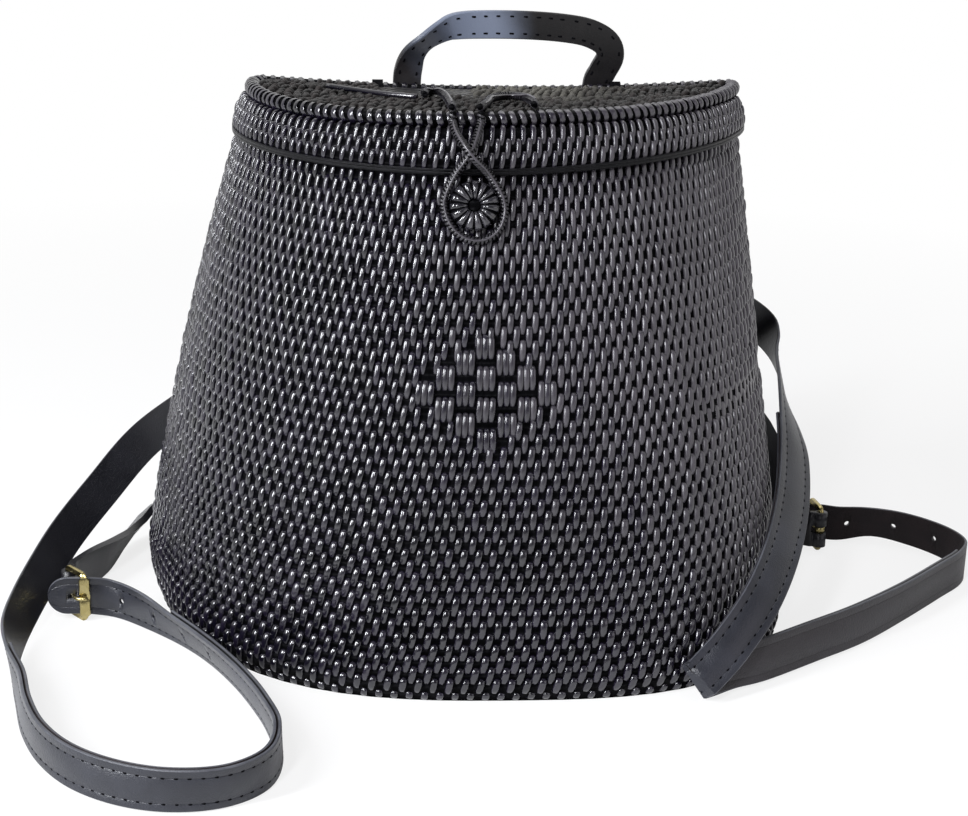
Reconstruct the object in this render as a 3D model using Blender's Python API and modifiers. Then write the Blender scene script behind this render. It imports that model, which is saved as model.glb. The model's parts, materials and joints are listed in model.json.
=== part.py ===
"""Woven pack basket with a hinged lid, button closure, carry handle and two shoulder straps.

Metres, +Z up. The origin is on the floor under the middle of the flat base's back half,
the front of the basket faces -Y and its flat back faces +Y.
"""
import math

import bmesh
import bpy
from mathutils import Matrix, Vector

# Clearances shared by all pieces
GAP = 0.0003
RUN_GAP = 0.0005
CUT_OVERRUN = 0.002
TUBE_RESOLUTION = 2

# Basket shell: the plan is a D with a flat back, drawn by a superellipse whose power,
# width and depth change with height. The body leans a little, as the woven one does.
BASKET_HEIGHT = 0.2396
SEAM_HEIGHT = 0.2165
BASE_WIDTH = 0.2985
TOP_WIDTH = 0.2230
BASE_DEPTH = 0.1815
TOP_DEPTH = 0.1090
SIDE_BULGE = 0.0057
BACK_Y = 0.0750
LEAN_X = 0.0196
FRONT_DRIFT = 0.0202
BASE_POWER = 2.85
TOP_POWER = 1.75
CORNER_ROUND = 0.010
WALL_THICKNESS = 0.0040
FOOT_ROUND = 0.0140
BASE_THICKNESS = 0.0050
BASE_CLEARANCE = 0.0012
AROUND_COUNT = 60
LEVEL_COUNT = 7
FOOT_SHARES = ((0.0, 0.34), (0.2, 0.15), (0.5, 0.04), (1.0, 0.0))

# Collar that the lid slides over, and the coil that binds its mouth
COLLAR_CLEARANCE = 0.0014
COLLAR_INSET = WALL_THICKNESS + COLLAR_CLEARANCE
COLLAR_THICKNESS = 0.0036
COLLAR_DEPTH_BELOW_SEAM = 0.0200
MOUTH_COIL_RADIUS = 0.0025
MOUTH_COIL_DROP = 0.0060

# Lid
LID_COIL_RADIUS = 0.0030
LID_PROUD = 0.0042
LID_BACK_SAG = 0.0045
LID_FRONT_RISE = 0.0022
LID_PANEL_THICKNESS = 0.0036
LID_SKIRT_THICKNESS = 0.0056
LID_SKIRT_BACK_GAP = 0.0070
LID_RIM_HEIGHT = 0.0026
LID_RIM_INSET = 0.0008
SKIRT_BULGE_SHARES = ((0.0, 0.80), (0.35, 1.0), (0.75, 0.95), (1.0, 0.70))
SKIRT_COUNT = 52
PANEL_RING_SHARES = (1.0, 0.86, 0.62, 0.32)

# Hinge rings of cane round the lid's back coil and the mouth coil
HINGE_RING_WIDTH = 0.0050
HINGE_RING_WALL = 0.0014
HINGE_RING_PLACE_SHARE = 0.50
HINGE_NOTCH_SIDE = 0.0006

# Button and its cord
BUTTON_HEIGHT = 0.2037
BUTTON_RADIUS = 0.0102
BUTTON_THICKNESS = 0.0052
BUTTON_STANDOFF = 0.0012
BUTTON_DIMPLE_RADIUS = 0.0030
BUTTON_DIMPLE_DEPTH = 0.0022
BUTTON_CORD_RADIUS = 0.0016
BUTTON_KNOT_RADIUS = 0.0040
BUTTON_KNOT_LENGTH = 0.0045
BUTTON_HEAD_RADIUS = 0.0024
BUTTON_HEAD_LENGTH = 0.0010
BUTTON_SIDES = 20

# Closure loop: a whipped cord that crosses itself above the button
LOOP_CORD_RADIUS = 0.0020
LOOP_SIDE_RADIUS = 0.0128
LOOP_BOTTOM_RADIUS = 0.0148
LOOP_CROSS_RISE = 0.0245
LOOP_LEG_SPREAD = 0.0060
# How far out and how far back each of the loop's ends lies on the lid, point by point
LEFT_ROOT_REACHES = ((0.0, 0.0), (0.0002, 0.0200), (0.0008, 0.0400), (0.0025, 0.0560), (0.0060, 0.0600),
                     (0.0092, 0.0540), (0.0099, 0.0440))
RIGHT_ROOT_REACHES = ((0.0, 0.0), (0.0035, 0.0150), (0.0063, 0.0300), (0.0115, 0.0405), (0.0175, 0.0430),
                      (0.0225, 0.0360), (0.0240, 0.0220), (0.0238, 0.0090))
ROOT_POINT_COUNT = 26
LOOP_TOP_LEAN = 0.30
LOOP_KNEE_SHARE = 0.45
LOOP_KNEE_SPREAD_SHARE = 0.75
LOOP_SHOULDER_X_SHARE = 0.55
LOOP_SHOULDER_Z_SHARE = 0.88
LOOP_WRAP_DEG = 20.0
LOOP_POINT_COUNT = 56
TIE_CORD_RADIUS = 0.0012
TIE_CORD_REACHES = ((0.0, 0.0), (0.0130, 0.0080), (0.0270, 0.0200), (0.0396, 0.0300))

# Carry handle
HANDLE_WIDTH = 0.0132
HANDLE_THICKNESS = 0.0026
HANDLE_HINGE_HEIGHT = 0.2150
HANDLE_FOOT_LENGTH = 0.0340
HANDLE_LEFT_X = -0.0222
HANDLE_RIGHT_X = 0.0676
HANDLE_RISE = 0.0480
# Handle route: share of the span, share of the rise, twist of the band in degrees
HANDLE_ROUTE_SHARES = (
    (0.000, 0.00, 0), (0.000, 0.40, 0), (0.008, 0.55, 12), (0.034, 0.69, 34), (0.093, 0.81, 50),
    (0.183, 0.92, 36), (0.267, 0.975, 14), (0.440, 0.99, 0), (0.650, 0.985, 0), (0.830, 0.96, 0),
    (0.955, 0.915, 0), (1.045, 0.82, 0), (1.068, 0.69, 0), (1.030, 0.54, 0), (1.000, 0.40, 0), (1.000, 0.00, 0),
)

# Shoulder straps: two leather layers sewn back to back. The first layer starts at the
# back wall, the second one runs on as the tail with the holes.
STRAP_WIDTH = 0.0180
STRAP_LAYER = 0.0016
STRAP_LAYER_OFFSET = (STRAP_LAYER + GAP) / 2
STRAP_FLOOR_CLEARANCE = 0.0005
STRAP_FLOOR_Z = STRAP_WIDTH / 2 + STRAP_FLOOR_CLEARANCE
STRAP_TOP_Z = 0.1780
STRAP_TOP_SPREAD = 0.0190
STRAP_STEP = 0.0085
STRAP_HOLE_RADIUS = 0.0014
STRAP_HOLE_PITCH = 0.0240
STRAP_HOLE_COUNT = 4
SHORT_STRAP_LAYER = 0.0034
SHORT_STRAP_STEP = 0.0060
TAIL_TIP_LENGTH = 0.0090
TAIL_PAST_BAR = 0.0170

# Rivets
RIVET_HEAD_RADIUS = 0.0036
RIVET_HEAD_HEIGHT = 0.0014
RIVET_DOME_RADIUS_SHARE = 0.6
RIVET_DOME_HEIGHT_SHARE = 0.8
RIVET_SHANK_RADIUS = 0.0013
RIVET_PITCH = 0.0130
RIVET_END_MARGIN = 0.0065
RIVET_SIDES = 12

# Buckles
BUCKLE_WIRE_RADIUS = 0.0012
BUCKLE_SIDE_CLEARANCE = 0.0004
BUCKLE_BAR_SPACING = 0.0140
BUCKLE_CORNER_RADIUS = 0.0022
PRONG_RADIUS = 0.0009
PRONG_EYE_RADIUS = 0.0025
PRONG_EYE_WIDTH = 0.0030
PRONG_TIP_OVERHANG = 0.0014
PRONG_HOLE_FROM_BAR = 0.0050
PRONG_LIFT_DEG = 9.0
PRONG_SLOT_WIDTH = 0.0024
STRAP_EYE_REACH_SHARE = 2.6
STRAP_EYE_RADIUS = 0.0033
STRAP_EYE_SLOT = 0.0038
BUCKLE_FRAME_HALF = STRAP_WIDTH / 2 + BUCKLE_SIDE_CLEARANCE + 2 * BUCKLE_WIRE_RADIUS
BUCKLE_Z = BUCKLE_FRAME_HALF

# Routes as shares of the basket's height: x, y, z of the strap's middle line and the
# azimuth and elevation in degrees of the edge that is uppermost on the floor.
LEFT_WALL_SHARES = ((-0.134, 0.640), (-0.259, 0.535))
LEFT_ROUTE_SHARES = (
    (-0.380, 0.342, 0.430, 176, 50), (-0.501, 0.334, 0.330, 167, 50), (-0.622, 0.309, 0.244, 167, 49),
    (-0.705, 0.221, 0.165, 173, 50), (-0.764, 0.129, 0.109, 176, 49), (-0.797, 0.021, 0.075, 178, 48),
    (-0.818, -0.096, 0.054, 183, 53), (-0.826, -0.213, 0.044, 187, 62), (-0.814, -0.330, 0.041, 185, 80),
    (-0.785, -0.442, 0.040, 10, 86), (-0.760, -0.551, 0.040, 13, 86), (-0.722, -0.651, 0.040, 60, 88),
    (-0.664, -0.735, 0.040, 60, 88), (-0.584, -0.795, 0.040, 60, 88), (-0.497, -0.822, 0.040, -50, 88),
    (-0.409, -0.810, 0.040, -61, 84), (-0.346, -0.751, 0.040, -45, 86), (-0.330, -0.655, 0.040, 170, 88),
    (-0.351, -0.551, 0.040, 195, 80), (-0.384, -0.453, 0.039, 199, 75), (-0.426, -0.355, 0.038, 201, 70),
    (-0.476, -0.263, 0.038, 207, 67), (-0.532, -0.179, 0.038, 213, 70), (-0.597, -0.098, 0.040, 235, 84),
)
RIGHT_WALL_SHARES = ((0.300, 0.663), (0.430, 0.592))
RIGHT_ROUTE_SHARES = (
    (0.559, 0.351, 0.530, 0, 60), (0.639, 0.359, 0.480, -20, 62), (0.668, 0.334, 0.442, -75, 64),
    (0.672, 0.284, 0.409, -116, 57), (0.668, 0.209, 0.380, -130, 60), (0.668, 0.117, 0.342, 190, 52),
    (0.664, 0.033, 0.301, 170, 42), (0.639, -0.092, 0.250, 166, 38), (0.597, -0.217, 0.198, 165, 38),
    (0.543, -0.319, 0.144, 164, 38), (0.480, -0.388, 0.088, 158, 40), (0.438, -0.419, 0.054, 146, 42),
    (0.417, -0.434, 0.040, 140, 42), (0.413, -0.424, 0.036, 138, 43), (0.436, -0.405, 0.034, 136, 46),
    (0.480, -0.380, 0.037, 132, 56), (0.547, -0.346, 0.038, 128, 68), (0.655, -0.271, 0.040, 128, 73),
    (0.760, -0.192, 0.040, 128, 76), (0.868, -0.090, 0.040, 128, 86), (0.972, 0.021, 0.040, 130, 88),
    (1.031, 0.088, 0.040, 130, 88), (1.054, 0.150, 0.040, 0, 88), (1.035, 0.221, 0.040, -150, 86),
    (0.981, 0.292, 0.040, -130, 80), (0.914, 0.336, 0.040, -100, 72),
)
LEFT_BAR_SHARES = (-0.7137, -0.0593)
LEFT_TAIL_HEADING_DEG = 183.0
LEFT_BUCKLE_TILT_DEG = 56.0
RIGHT_BAR_SHARES = (0.7785, 0.3389)
RIGHT_TAIL_HEADING_DEG = 188.0
RIGHT_BUCKLE_TILT_DEG = 90.0
LEFT_SHORT_SHARES = (
    (-0.743, 0.054, 0.044, 0, 88), (-0.718, 0.117, 0.042, -20, 84), (-0.689, 0.179, 0.040, -35, 72),
    (-0.668, 0.250, 0.037, -48, 54), (-0.651, 0.317, 0.044, -60, 34), (-0.614, 0.363, 0.075, -80, 22),
    (-0.547, 0.359, 0.117, -90, 52),
)
LEFT_SHORT_WALL_SHARES = ((-0.490, 0.147), (-0.455, 0.166), (-0.365, 0.215))
RIGHT_SHORT_SHARES = (
    (0.730, 0.296, 0.071, 0, 74), (0.693, 0.326, 0.138, 0, 46), (0.664, 0.351, 0.221, 0, 38),
    (0.618, 0.357, 0.280, 0, 48),
)
RIGHT_SHORT_WALL_SHARES = ((0.545, 0.308), (0.505, 0.322), (0.415, 0.352))
LEFT_FIRST_LAYER_END = 25
LEFT_SECOND_LAYER_START = 11
RIGHT_FIRST_LAYER_END = 24
RIGHT_SECOND_LAYER_START = 8

PART_NAME = "pack_basket"
CUTTER_NAME = "pack_basket_cutters"

FINISHES = {
    "cane": ((0.020, 0.018, 0.022, 1.0), 0.35, 0.0),
    "cane_matte": ((0.075, 0.073, 0.068, 1.0), 0.70, 0.0),
    "cord": ((0.012, 0.011, 0.013, 1.0), 0.55, 0.0),
    "leather": ((0.055, 0.060, 0.075, 1.0), 0.50, 0.0),
    "brass": ((0.52, 0.45, 0.20, 1.0), 0.35, 1.0),
    "dark_metal": ((0.10, 0.09, 0.08, 1.0), 0.40, 1.0),
}


# Scene set-up and small helpers
def clear_scene():
    for old in list(bpy.data.objects):
        bpy.data.objects.remove(old, do_unlink=True)


def make_collection(name):
    group = bpy.data.collections.new(name)
    bpy.context.scene.collection.children.link(group)
    return group


def finish(name):
    existing = bpy.data.materials.get(name)
    if existing:
        return existing
    colour, roughness, metallic = FINISHES[name]
    material = bpy.data.materials.new(name)
    material.use_nodes = True
    shader = material.node_tree.nodes["Principled BSDF"]
    shader.inputs["Base Color"].default_value = colour
    shader.inputs["Roughness"].default_value = roughness
    shader.inputs["Metallic"].default_value = metallic
    return material


def place(obj, group, finish_name):
    for old in list(obj.users_collection):
        old.objects.unlink(obj)
    group.objects.link(obj)
    if finish_name:
        obj.data.materials.clear()
        obj.data.materials.append(finish(finish_name))
    else:
        obj.hide_render = True
        obj.display_type = "WIRE"
    return obj


def new_mesh_object(name, bm, group, finish_name, smooth=True):
    bmesh.ops.recalc_face_normals(bm, faces=bm.faces)
    mesh = bpy.data.meshes.new(name)
    bm.to_mesh(mesh)
    bm.free()
    obj = bpy.data.objects.new(name, mesh)
    group.objects.link(obj)
    if smooth:
        mesh.shade_smooth()
        mesh.set_sharp_from_angle(angle=math.radians(40))
    return place(obj, group, finish_name)


def loft(name, sections, closed, group, finish_name, smooth=True):
    """Skin a row of like sections; a closed row joins its last section to its first."""
    bm = bmesh.new()
    rows = [[bm.verts.new(point) for point in section] for section in sections]
    size = len(rows[0])
    row_count = len(rows)
    for i in range(row_count if closed else row_count - 1):
        here = rows[i]
        there = rows[(i + 1) % row_count]
        for j in range(size):
            k = (j + 1) % size
            bm.faces.new((here[j], here[k], there[k], there[j]))
    if not closed:
        bm.faces.new(rows[0])
        bm.faces.new(list(reversed(rows[-1])))
    return new_mesh_object(name, bm, group, finish_name, smooth)


def ribbon_solid(name, sections, group, finish_name):
    """Skin four-cornered strap sections; both faces are split along the same diagonal."""
    bm = bmesh.new()
    rows = [[bm.verts.new(point) for point in section] for section in sections]
    for here, there in zip(rows, rows[1:]):
        for j, k in ((0, 1), (2, 3)):
            bm.faces.new((here[j], here[k], there[k], there[j]))
        bm.faces.new((here[1], here[2], there[2]))
        bm.faces.new((here[1], there[2], there[1]))
        bm.faces.new((here[0], there[3], here[3]))
        bm.faces.new((here[0], there[0], there[3]))
    bm.faces.new(rows[0])
    bm.faces.new(list(reversed(rows[-1])))
    return new_mesh_object(name, bm, group, finish_name, smooth=False)


def tube(name, points, radius, closed, group, finish_name):
    curve = bpy.data.curves.new(name, "CURVE")
    curve.dimensions = "3D"
    curve.bevel_depth = radius
    curve.bevel_resolution = TUBE_RESOLUTION
    curve.use_fill_caps = True
    spline = curve.splines.new("POLY")
    spline.points.add(len(points) - 1)
    for spot, point in zip(spline.points, points):
        spot.co = (*point, 1.0)
    spline.use_cyclic_u = closed
    obj = bpy.data.objects.new(name, curve)
    group.objects.link(obj)
    return place(obj, group, finish_name)


def as_mesh(obj, group, finish_name):
    """Turn a curve object into a welded mesh object of the same name and place."""
    graph = bpy.context.evaluated_depsgraph_get()
    mesh = bpy.data.meshes.new_from_object(obj.evaluated_get(graph))
    bm = bmesh.new()
    bm.from_mesh(mesh)
    bmesh.ops.remove_doubles(bm, verts=bm.verts, dist=GAP / 10)
    name = obj.name
    matrix = obj.matrix_world.copy()
    bpy.data.objects.remove(obj, do_unlink=True)
    solid = new_mesh_object(name, bm, group, finish_name)
    solid.matrix_world = matrix
    return solid


def boolean(obj, cutter, operation="DIFFERENCE"):
    modifier = obj.modifiers.new(operation.lower(), "BOOLEAN")
    modifier.operation = operation
    modifier.solver = "EXACT"
    modifier.object = cutter


def turned(name, profile, matrix, group, finish_name, steps=RIVET_SIDES):
    """Turn a profile of (radius, height) pairs, top to bottom, about its own axis."""
    bm = bmesh.new()
    verts = [bm.verts.new((radius, 0.0, height)) for radius, height in profile]
    for first, second in zip(verts, verts[1:]):
        bm.edges.new((first, second))
    mesh = bpy.data.meshes.new(name)
    bm.to_mesh(mesh)
    bm.free()
    obj = bpy.data.objects.new(name, mesh)
    group.objects.link(obj)
    screw = obj.modifiers.new("turn", "SCREW")
    screw.axis = "Z"
    screw.steps = steps
    screw.render_steps = steps
    screw.use_merge_vertices = True
    screw.merge_threshold = 0.00001
    screw.use_smooth_shade = True
    obj.matrix_world = matrix
    return place(obj, group, finish_name)


def cylinder(name, radius, length, matrix, group, finish_name, sides=RIVET_SIDES):
    bm = bmesh.new()
    bmesh.ops.create_cone(bm, cap_ends=True, segments=sides, radius1=radius, radius2=radius, depth=length)
    obj = new_mesh_object(name, bm, group, finish_name)
    obj.matrix_world = matrix
    return obj


def box(name, size, matrix, group, finish_name):
    bm = bmesh.new()
    bmesh.ops.create_cube(bm, size=1.0)
    bmesh.ops.scale(bm, vec=size, verts=bm.verts)
    obj = new_mesh_object(name, bm, group, finish_name, smooth=False)
    obj.matrix_world = matrix
    return obj


def axis_matrix(point, axis, side=None):
    """Matrix at a point whose Z runs along the axis and whose X is nearest to side."""
    z_axis = Vector(axis).normalized()
    guide = Vector(side) if side is not None else Vector((1.0, 0.0, 0.0))
    x_axis = (guide - z_axis * guide.dot(z_axis)).normalized()
    y_axis = z_axis.cross(x_axis)
    rotation = Matrix((x_axis, y_axis, z_axis)).transposed()
    return Matrix.Translation(point) @ rotation.to_4x4()


def hang_on_axis(name, point, pieces, group, carrier=None):
    """Parent moving pieces to an empty that sits on their joint's axis."""
    pivot = bpy.data.objects.new(name, None)
    group.objects.link(pivot)
    spot = Matrix.Translation(point)
    pivot.matrix_world = spot
    for piece in pieces:
        piece.parent = pivot
        piece.matrix_parent_inverse = spot.inverted()
    if carrier:
        pivot.parent = carrier
        pivot.matrix_parent_inverse = carrier.matrix_world.inverted()
    return pivot


# Plan outlines of the shell
def resample(points, count, closed):
    """Spread a number of points evenly along a polyline."""
    path = [Vector(point) for point in points]
    if closed:
        path.append(path[0])
    lengths = [0.0]
    for first, second in zip(path, path[1:]):
        lengths.append(lengths[-1] + (second - first).length)
    total = lengths[-1]
    spaces = count if closed else count - 1
    result = []
    segment = 0
    for i in range(count):
        target = total * i / spaces
        while segment < len(path) - 2 and lengths[segment + 1] < target:
            segment += 1
        span = lengths[segment + 1] - lengths[segment]
        mix = (target - lengths[segment]) / span if span > 0 else 0.0
        result.append(path[segment].lerp(path[segment + 1], mix))
    return result


def shell_sizes(height):
    """Half width, depth, power, middle x and front drift of the shell at a height."""
    share = height / BASKET_HEIGHT
    bulge = 4 * SIDE_BULGE * share * (1 - share)
    half_width = (BASE_WIDTH + (TOP_WIDTH - BASE_WIDTH) * share) / 2 + bulge
    depth = BASE_DEPTH + (TOP_DEPTH - BASE_DEPTH) * share + bulge
    power = BASE_POWER + (TOP_POWER - BASE_POWER) * share
    return half_width, depth, power, LEAN_X * share, FRONT_DRIFT * (1 - 2 * share)


def arc_points(height, inset, back_y, front_clip=0.0, steps=180):
    """The D's curved side at a height, from its left back corner to its right one."""
    half_width, depth, power, middle, drift = shell_sizes(height)
    half_width -= inset
    reach = depth - (BACK_Y - back_y) - inset
    points = []
    for i in range(steps + 1):
        angle = math.pi * i / steps
        run = abs(math.sin(angle)) ** (2 / power)
        side = math.copysign(abs(math.cos(angle)) ** (2 / power), math.cos(angle))
        y = back_y - reach * run
        if back_y - y >= front_clip - GAP / 100:
            points.append(Vector((middle - half_width * side + drift * run, y, height)))
    return points


def ring_points(height, inset, back_y, count=AROUND_COUNT):
    """Closed D outline with rounded back corners, starting at the middle of the back."""
    arc = arc_points(height, inset, back_y)
    left, right = arc[0], arc[-1]
    back = [right.lerp(left, i / 60) for i in range(1, 60)]
    even = resample(arc + back, 4 * count, True)
    spacing = sum((even[i] - even[i - 1]).length for i in range(len(even))) / len(even)
    reach = max(1, round(CORNER_ROUND / spacing / 2))
    total = len(even)
    smooth = []
    for i in range(total):
        near = [even[(i + k) % total] for k in range(-reach, reach + 1)]
        smooth.append(sum(near, Vector((0.0, 0.0, 0.0))) / len(near))
    middle_x = (left.x + right.x) / 2
    start = min(range(total), key=lambda i: (abs(smooth[i].x - middle_x) if smooth[i].y > 0 else 1.0))
    turned_loop = smooth[start:] + smooth[:start]
    return resample(turned_loop, count, True)


def lid_edge_z(x, y):
    """Height of the lid's saddle: its back edge sags and its front edge rises."""
    half_width, depth, _, middle, _ = shell_sizes(BASKET_HEIGHT)
    across = min(1.0, abs(x - middle) / (half_width + LID_PROUD))
    front_y = BACK_Y - depth - LID_PROUD
    back = min(1.0, max(0.0, (y - front_y) / (HINGE_Y - front_y)))
    hump = 1 - across * across
    return BASKET_HEIGHT - LID_BACK_SAG * hump * back + LID_FRONT_RISE * hump * (1 - back)


COLLAR_BACK_Y = BACK_Y - COLLAR_INSET
HINGE_Y = COLLAR_BACK_Y - COLLAR_THICKNESS / 2
MOUTH_COIL_Z = BASKET_HEIGHT - 2 * LID_COIL_RADIUS - MOUTH_COIL_DROP - MOUTH_COIL_RADIUS
COLLAR_TOP_Z = MOUTH_COIL_Z - MOUTH_COIL_RADIUS - GAP


def hinge_places():
    half_width, _, _, middle, _ = shell_sizes(BASKET_HEIGHT)
    reach = half_width * HINGE_RING_PLACE_SHARE
    return middle - reach, middle + reach


def hinge_axis_z():
    return lid_edge_z(hinge_places()[0], HINGE_Y) - LID_COIL_RADIUS


# Shell pieces
def wall_sections(levels, outer_inset, inner_inset, outer_back, inner_back):
    """Wall cross-sections round the D: up the outer face, then down the inner one."""
    outer = [ring_points(z, outer_inset + extra, outer_back - extra) for z, extra in levels]
    lowest = levels[0][0]
    inner_levels = [z for z, extra in reversed(levels) if extra == 0.0 or z == lowest]
    rings = outer + [ring_points(z, inner_inset, inner_back) for z in inner_levels]
    return [[ring[i] for ring in rings] for i in range(AROUND_COUNT)]


def build_body_wall(group):
    levels = [(share * FOOT_ROUND, inset_share * FOOT_ROUND) for share, inset_share in FOOT_SHARES]
    span = SEAM_HEIGHT - FOOT_ROUND
    levels += [(FOOT_ROUND + span * i / LEVEL_COUNT, 0.0) for i in range(1, LEVEL_COUNT + 1)]
    sections = wall_sections(levels, 0.0, WALL_THICKNESS, BACK_Y, BACK_Y - WALL_THICKNESS)
    return loft("body_wall", sections, True, group, "cane")


def build_base_panel(group):
    inset = WALL_THICKNESS + BASE_CLEARANCE
    outline = ring_points(BASE_THICKNESS, inset, BACK_Y - inset)
    curve = bpy.data.curves.new("base_panel", "CURVE")
    curve.dimensions = "2D"
    curve.fill_mode = "BOTH"
    curve.extrude = BASE_THICKNESS / 2
    spline = curve.splines.new("POLY")
    spline.points.add(len(outline) - 1)
    for spot, point in zip(spline.points, outline):
        spot.co = (point.x, point.y, 0.0, 1.0)
    spline.use_cyclic_u = True
    obj = bpy.data.objects.new("base_panel", curve)
    obj.location = (0.0, 0.0, BASE_THICKNESS / 2)
    group.objects.link(obj)
    return place(obj, group, "cane_matte")


def build_collar(group):
    bottom = SEAM_HEIGHT - COLLAR_DEPTH_BELOW_SEAM
    middle = (bottom + SEAM_HEIGHT) / 2
    levels = [(bottom, 0.0), (middle, 0.0), (SEAM_HEIGHT, 0.0), (COLLAR_TOP_Z, 0.0)]
    inner_inset = COLLAR_INSET + COLLAR_THICKNESS
    sections = wall_sections(levels, COLLAR_INSET, inner_inset, COLLAR_BACK_Y, BACK_Y - inner_inset)
    return loft("collar", sections, True, group, "cane")


def build_mouth_coil(group):
    inset = COLLAR_INSET + COLLAR_THICKNESS / 2
    points = ring_points(MOUTH_COIL_Z, inset, HINGE_Y)
    return tube("mouth_coil", points, MOUTH_COIL_RADIUS, True, group, "cane")


def lid_coil_outline():
    return ring_points(BASKET_HEIGHT, LID_COIL_RADIUS - LID_PROUD, HINGE_Y)


def offset_inward(outline, distance):
    """Move each point of a closed plan outline inwards, square to the line there."""
    middle = sum(outline, Vector((0.0, 0.0, 0.0))) / len(outline)
    moved = []
    count = len(outline)
    for i, point in enumerate(outline):
        run = (outline[(i + 1) % count] - outline[i - 1]).normalized()
        inward = Vector((-run.y, run.x, 0.0))
        if inward.dot(middle - point) < 0:
            inward = -inward
        moved.append(point + inward * distance)
    return moved


def build_lid_coil(group):
    outline = lid_coil_outline()
    points = [(p.x, p.y, lid_edge_z(p.x, p.y) - LID_COIL_RADIUS) for p in outline]
    return tube("lid_coil", points, LID_COIL_RADIUS, True, group, "cane")


def build_lid_panel(group):
    """Saddle-shaped top of the lid, a coarse sheet of rings given its thickness."""
    outline = offset_inward(lid_coil_outline(), LID_COIL_RADIUS + RUN_GAP)
    middle = sum(outline, Vector((0.0, 0.0, 0.0))) / len(outline)
    bm = bmesh.new()
    rows = []
    for share in PANEL_RING_SHARES:
        row = []
        for point in outline:
            spot = middle.lerp(point, share)
            row.append(bm.verts.new((spot.x, spot.y, lid_edge_z(spot.x, spot.y) - LID_COIL_RADIUS)))
        rows.append(row)
    centre = bm.verts.new((middle.x, middle.y, lid_edge_z(middle.x, middle.y) - LID_COIL_RADIUS))
    count = len(outline)
    for outer, inner in zip(rows, rows[1:]):
        for i in range(count):
            bm.faces.new((outer[i], outer[(i + 1) % count], inner[(i + 1) % count], inner[i]))
    for i in range(count):
        bm.faces.new((rows[-1][i], rows[-1][(i + 1) % count], centre))
    panel = new_mesh_object("lid_panel", bm, group, "cane_matte")
    shell = panel.modifiers.new("thickness", "SOLIDIFY")
    shell.thickness = LID_PANEL_THICKNESS
    shell.offset = 0.0
    return panel


def skirt_arc(height, inset):
    points = arc_points(height, inset, HINGE_Y, LID_SKIRT_BACK_GAP)
    return resample(points, SKIRT_COUNT, False)


def build_lid_skirt(group):
    """Woven side of the lid, down its outer face from shares of its height, up the inner one."""
    low = SEAM_HEIGHT + GAP + LID_RIM_HEIGHT + GAP
    high = BASKET_HEIGHT - 2 * LID_COIL_RADIUS
    rows = []
    for share, push_share in SKIRT_BULGE_SHARES:
        rows.append((share, skirt_arc(low + (high - low) * share, -LID_PROUD * push_share)))
    for share in (1.0, 0.0):
        rows.append((share, skirt_arc(low + (high - low) * share, LID_SKIRT_THICKNESS - LID_PROUD)))
    sections = []
    for i in range(SKIRT_COUNT):
        section = []
        for share, arc in rows:
            spot = arc[i]
            top = lid_edge_z(spot.x, spot.y) - 2 * LID_COIL_RADIUS - RUN_GAP
            section.append((spot.x, spot.y, low + (top - low) * share))
        sections.append(section)
    return loft("lid_skirt", sections, False, group, "cane")


def build_lid_rim(group):
    low = SEAM_HEIGHT + GAP
    outer = skirt_arc(SEAM_HEIGHT, LID_RIM_INSET - LID_PROUD)
    inner = skirt_arc(SEAM_HEIGHT, LID_SKIRT_THICKNESS - LID_PROUD)
    sections = []
    for far, near in zip(outer, inner):
        section = []
        for spot, rise in ((far, 0.0), (far, LID_RIM_HEIGHT), (near, LID_RIM_HEIGHT), (near, 0.0)):
            section.append((spot.x, spot.y, low + rise))
        sections.append(section)
    return loft("lid_rim", sections, False, group, "cane")


# Hinge rings
def stadium(radius, low_z, high_z, steps=8):
    points = []
    for i in range(steps + 1):
        angle = math.pi * i / steps
        points.append((radius * math.cos(angle), high_z + radius * math.sin(angle)))
    for i in range(steps + 1):
        angle = math.pi + math.pi * i / steps
        points.append((radius * math.cos(angle), low_z + radius * math.sin(angle)))
    return points


def build_hinge_ring(name, x, group):
    inner_radius = LID_COIL_RADIUS + GAP
    outer_radius = inner_radius + HINGE_RING_WALL
    high = hinge_axis_z()
    inner = stadium(inner_radius, MOUTH_COIL_Z, high)
    outer = stadium(outer_radius, MOUTH_COIL_Z, high)
    sections = []
    for near, far in zip(inner, outer):
        section = []
        for (y, z), side in ((near, -0.5), (near, 0.5), (far, 0.5), (far, -0.5)):
            section.append((x + side * HINGE_RING_WIDTH, HINGE_Y + y, z))
        sections.append(section)
    return loft(name, sections, True, group, "cord")


def cut_hinge_notches(panel, collar, cutters):
    """Slots that let the cane rings pass the lid panel and the collar."""
    width = HINGE_RING_WIDTH + 2 * HINGE_NOTCH_SIDE
    reach = LID_COIL_RADIUS + GAP + HINGE_RING_WALL + RUN_GAP
    for i, x in enumerate(hinge_places()):
        height = 4 * LID_PANEL_THICKNESS
        spot = Matrix.Translation((x, HINGE_Y, hinge_axis_z()))
        notch = box("panel_notch_%d" % i, (width, 2 * reach, height), spot, cutters, None)
        boolean(panel, notch)
        low = MOUTH_COIL_Z - LID_COIL_RADIUS - HINGE_RING_WALL - RUN_GAP - GAP
        height = COLLAR_TOP_Z - low + 2 * CUT_OVERRUN
        spot = Matrix.Translation((x, HINGE_Y, low + height / 2))
        notch = box("collar_notch_%d" % i, (width, 4 * COLLAR_THICKNESS, height), spot, cutters, None)
        boolean(collar, notch)


# Button and closure loop
def front_frame(height, inset=0.0):
    """Point, outward normal and upward slope of the front's middle line at a height."""
    here = front_point(height, inset)
    above = front_point(height + FOOT_ROUND, inset)
    up = (above - here).normalized()
    side = Vector((1.0, 0.0, 0.0))
    normal = side.cross(up).normalized()
    return here, normal, up


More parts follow.
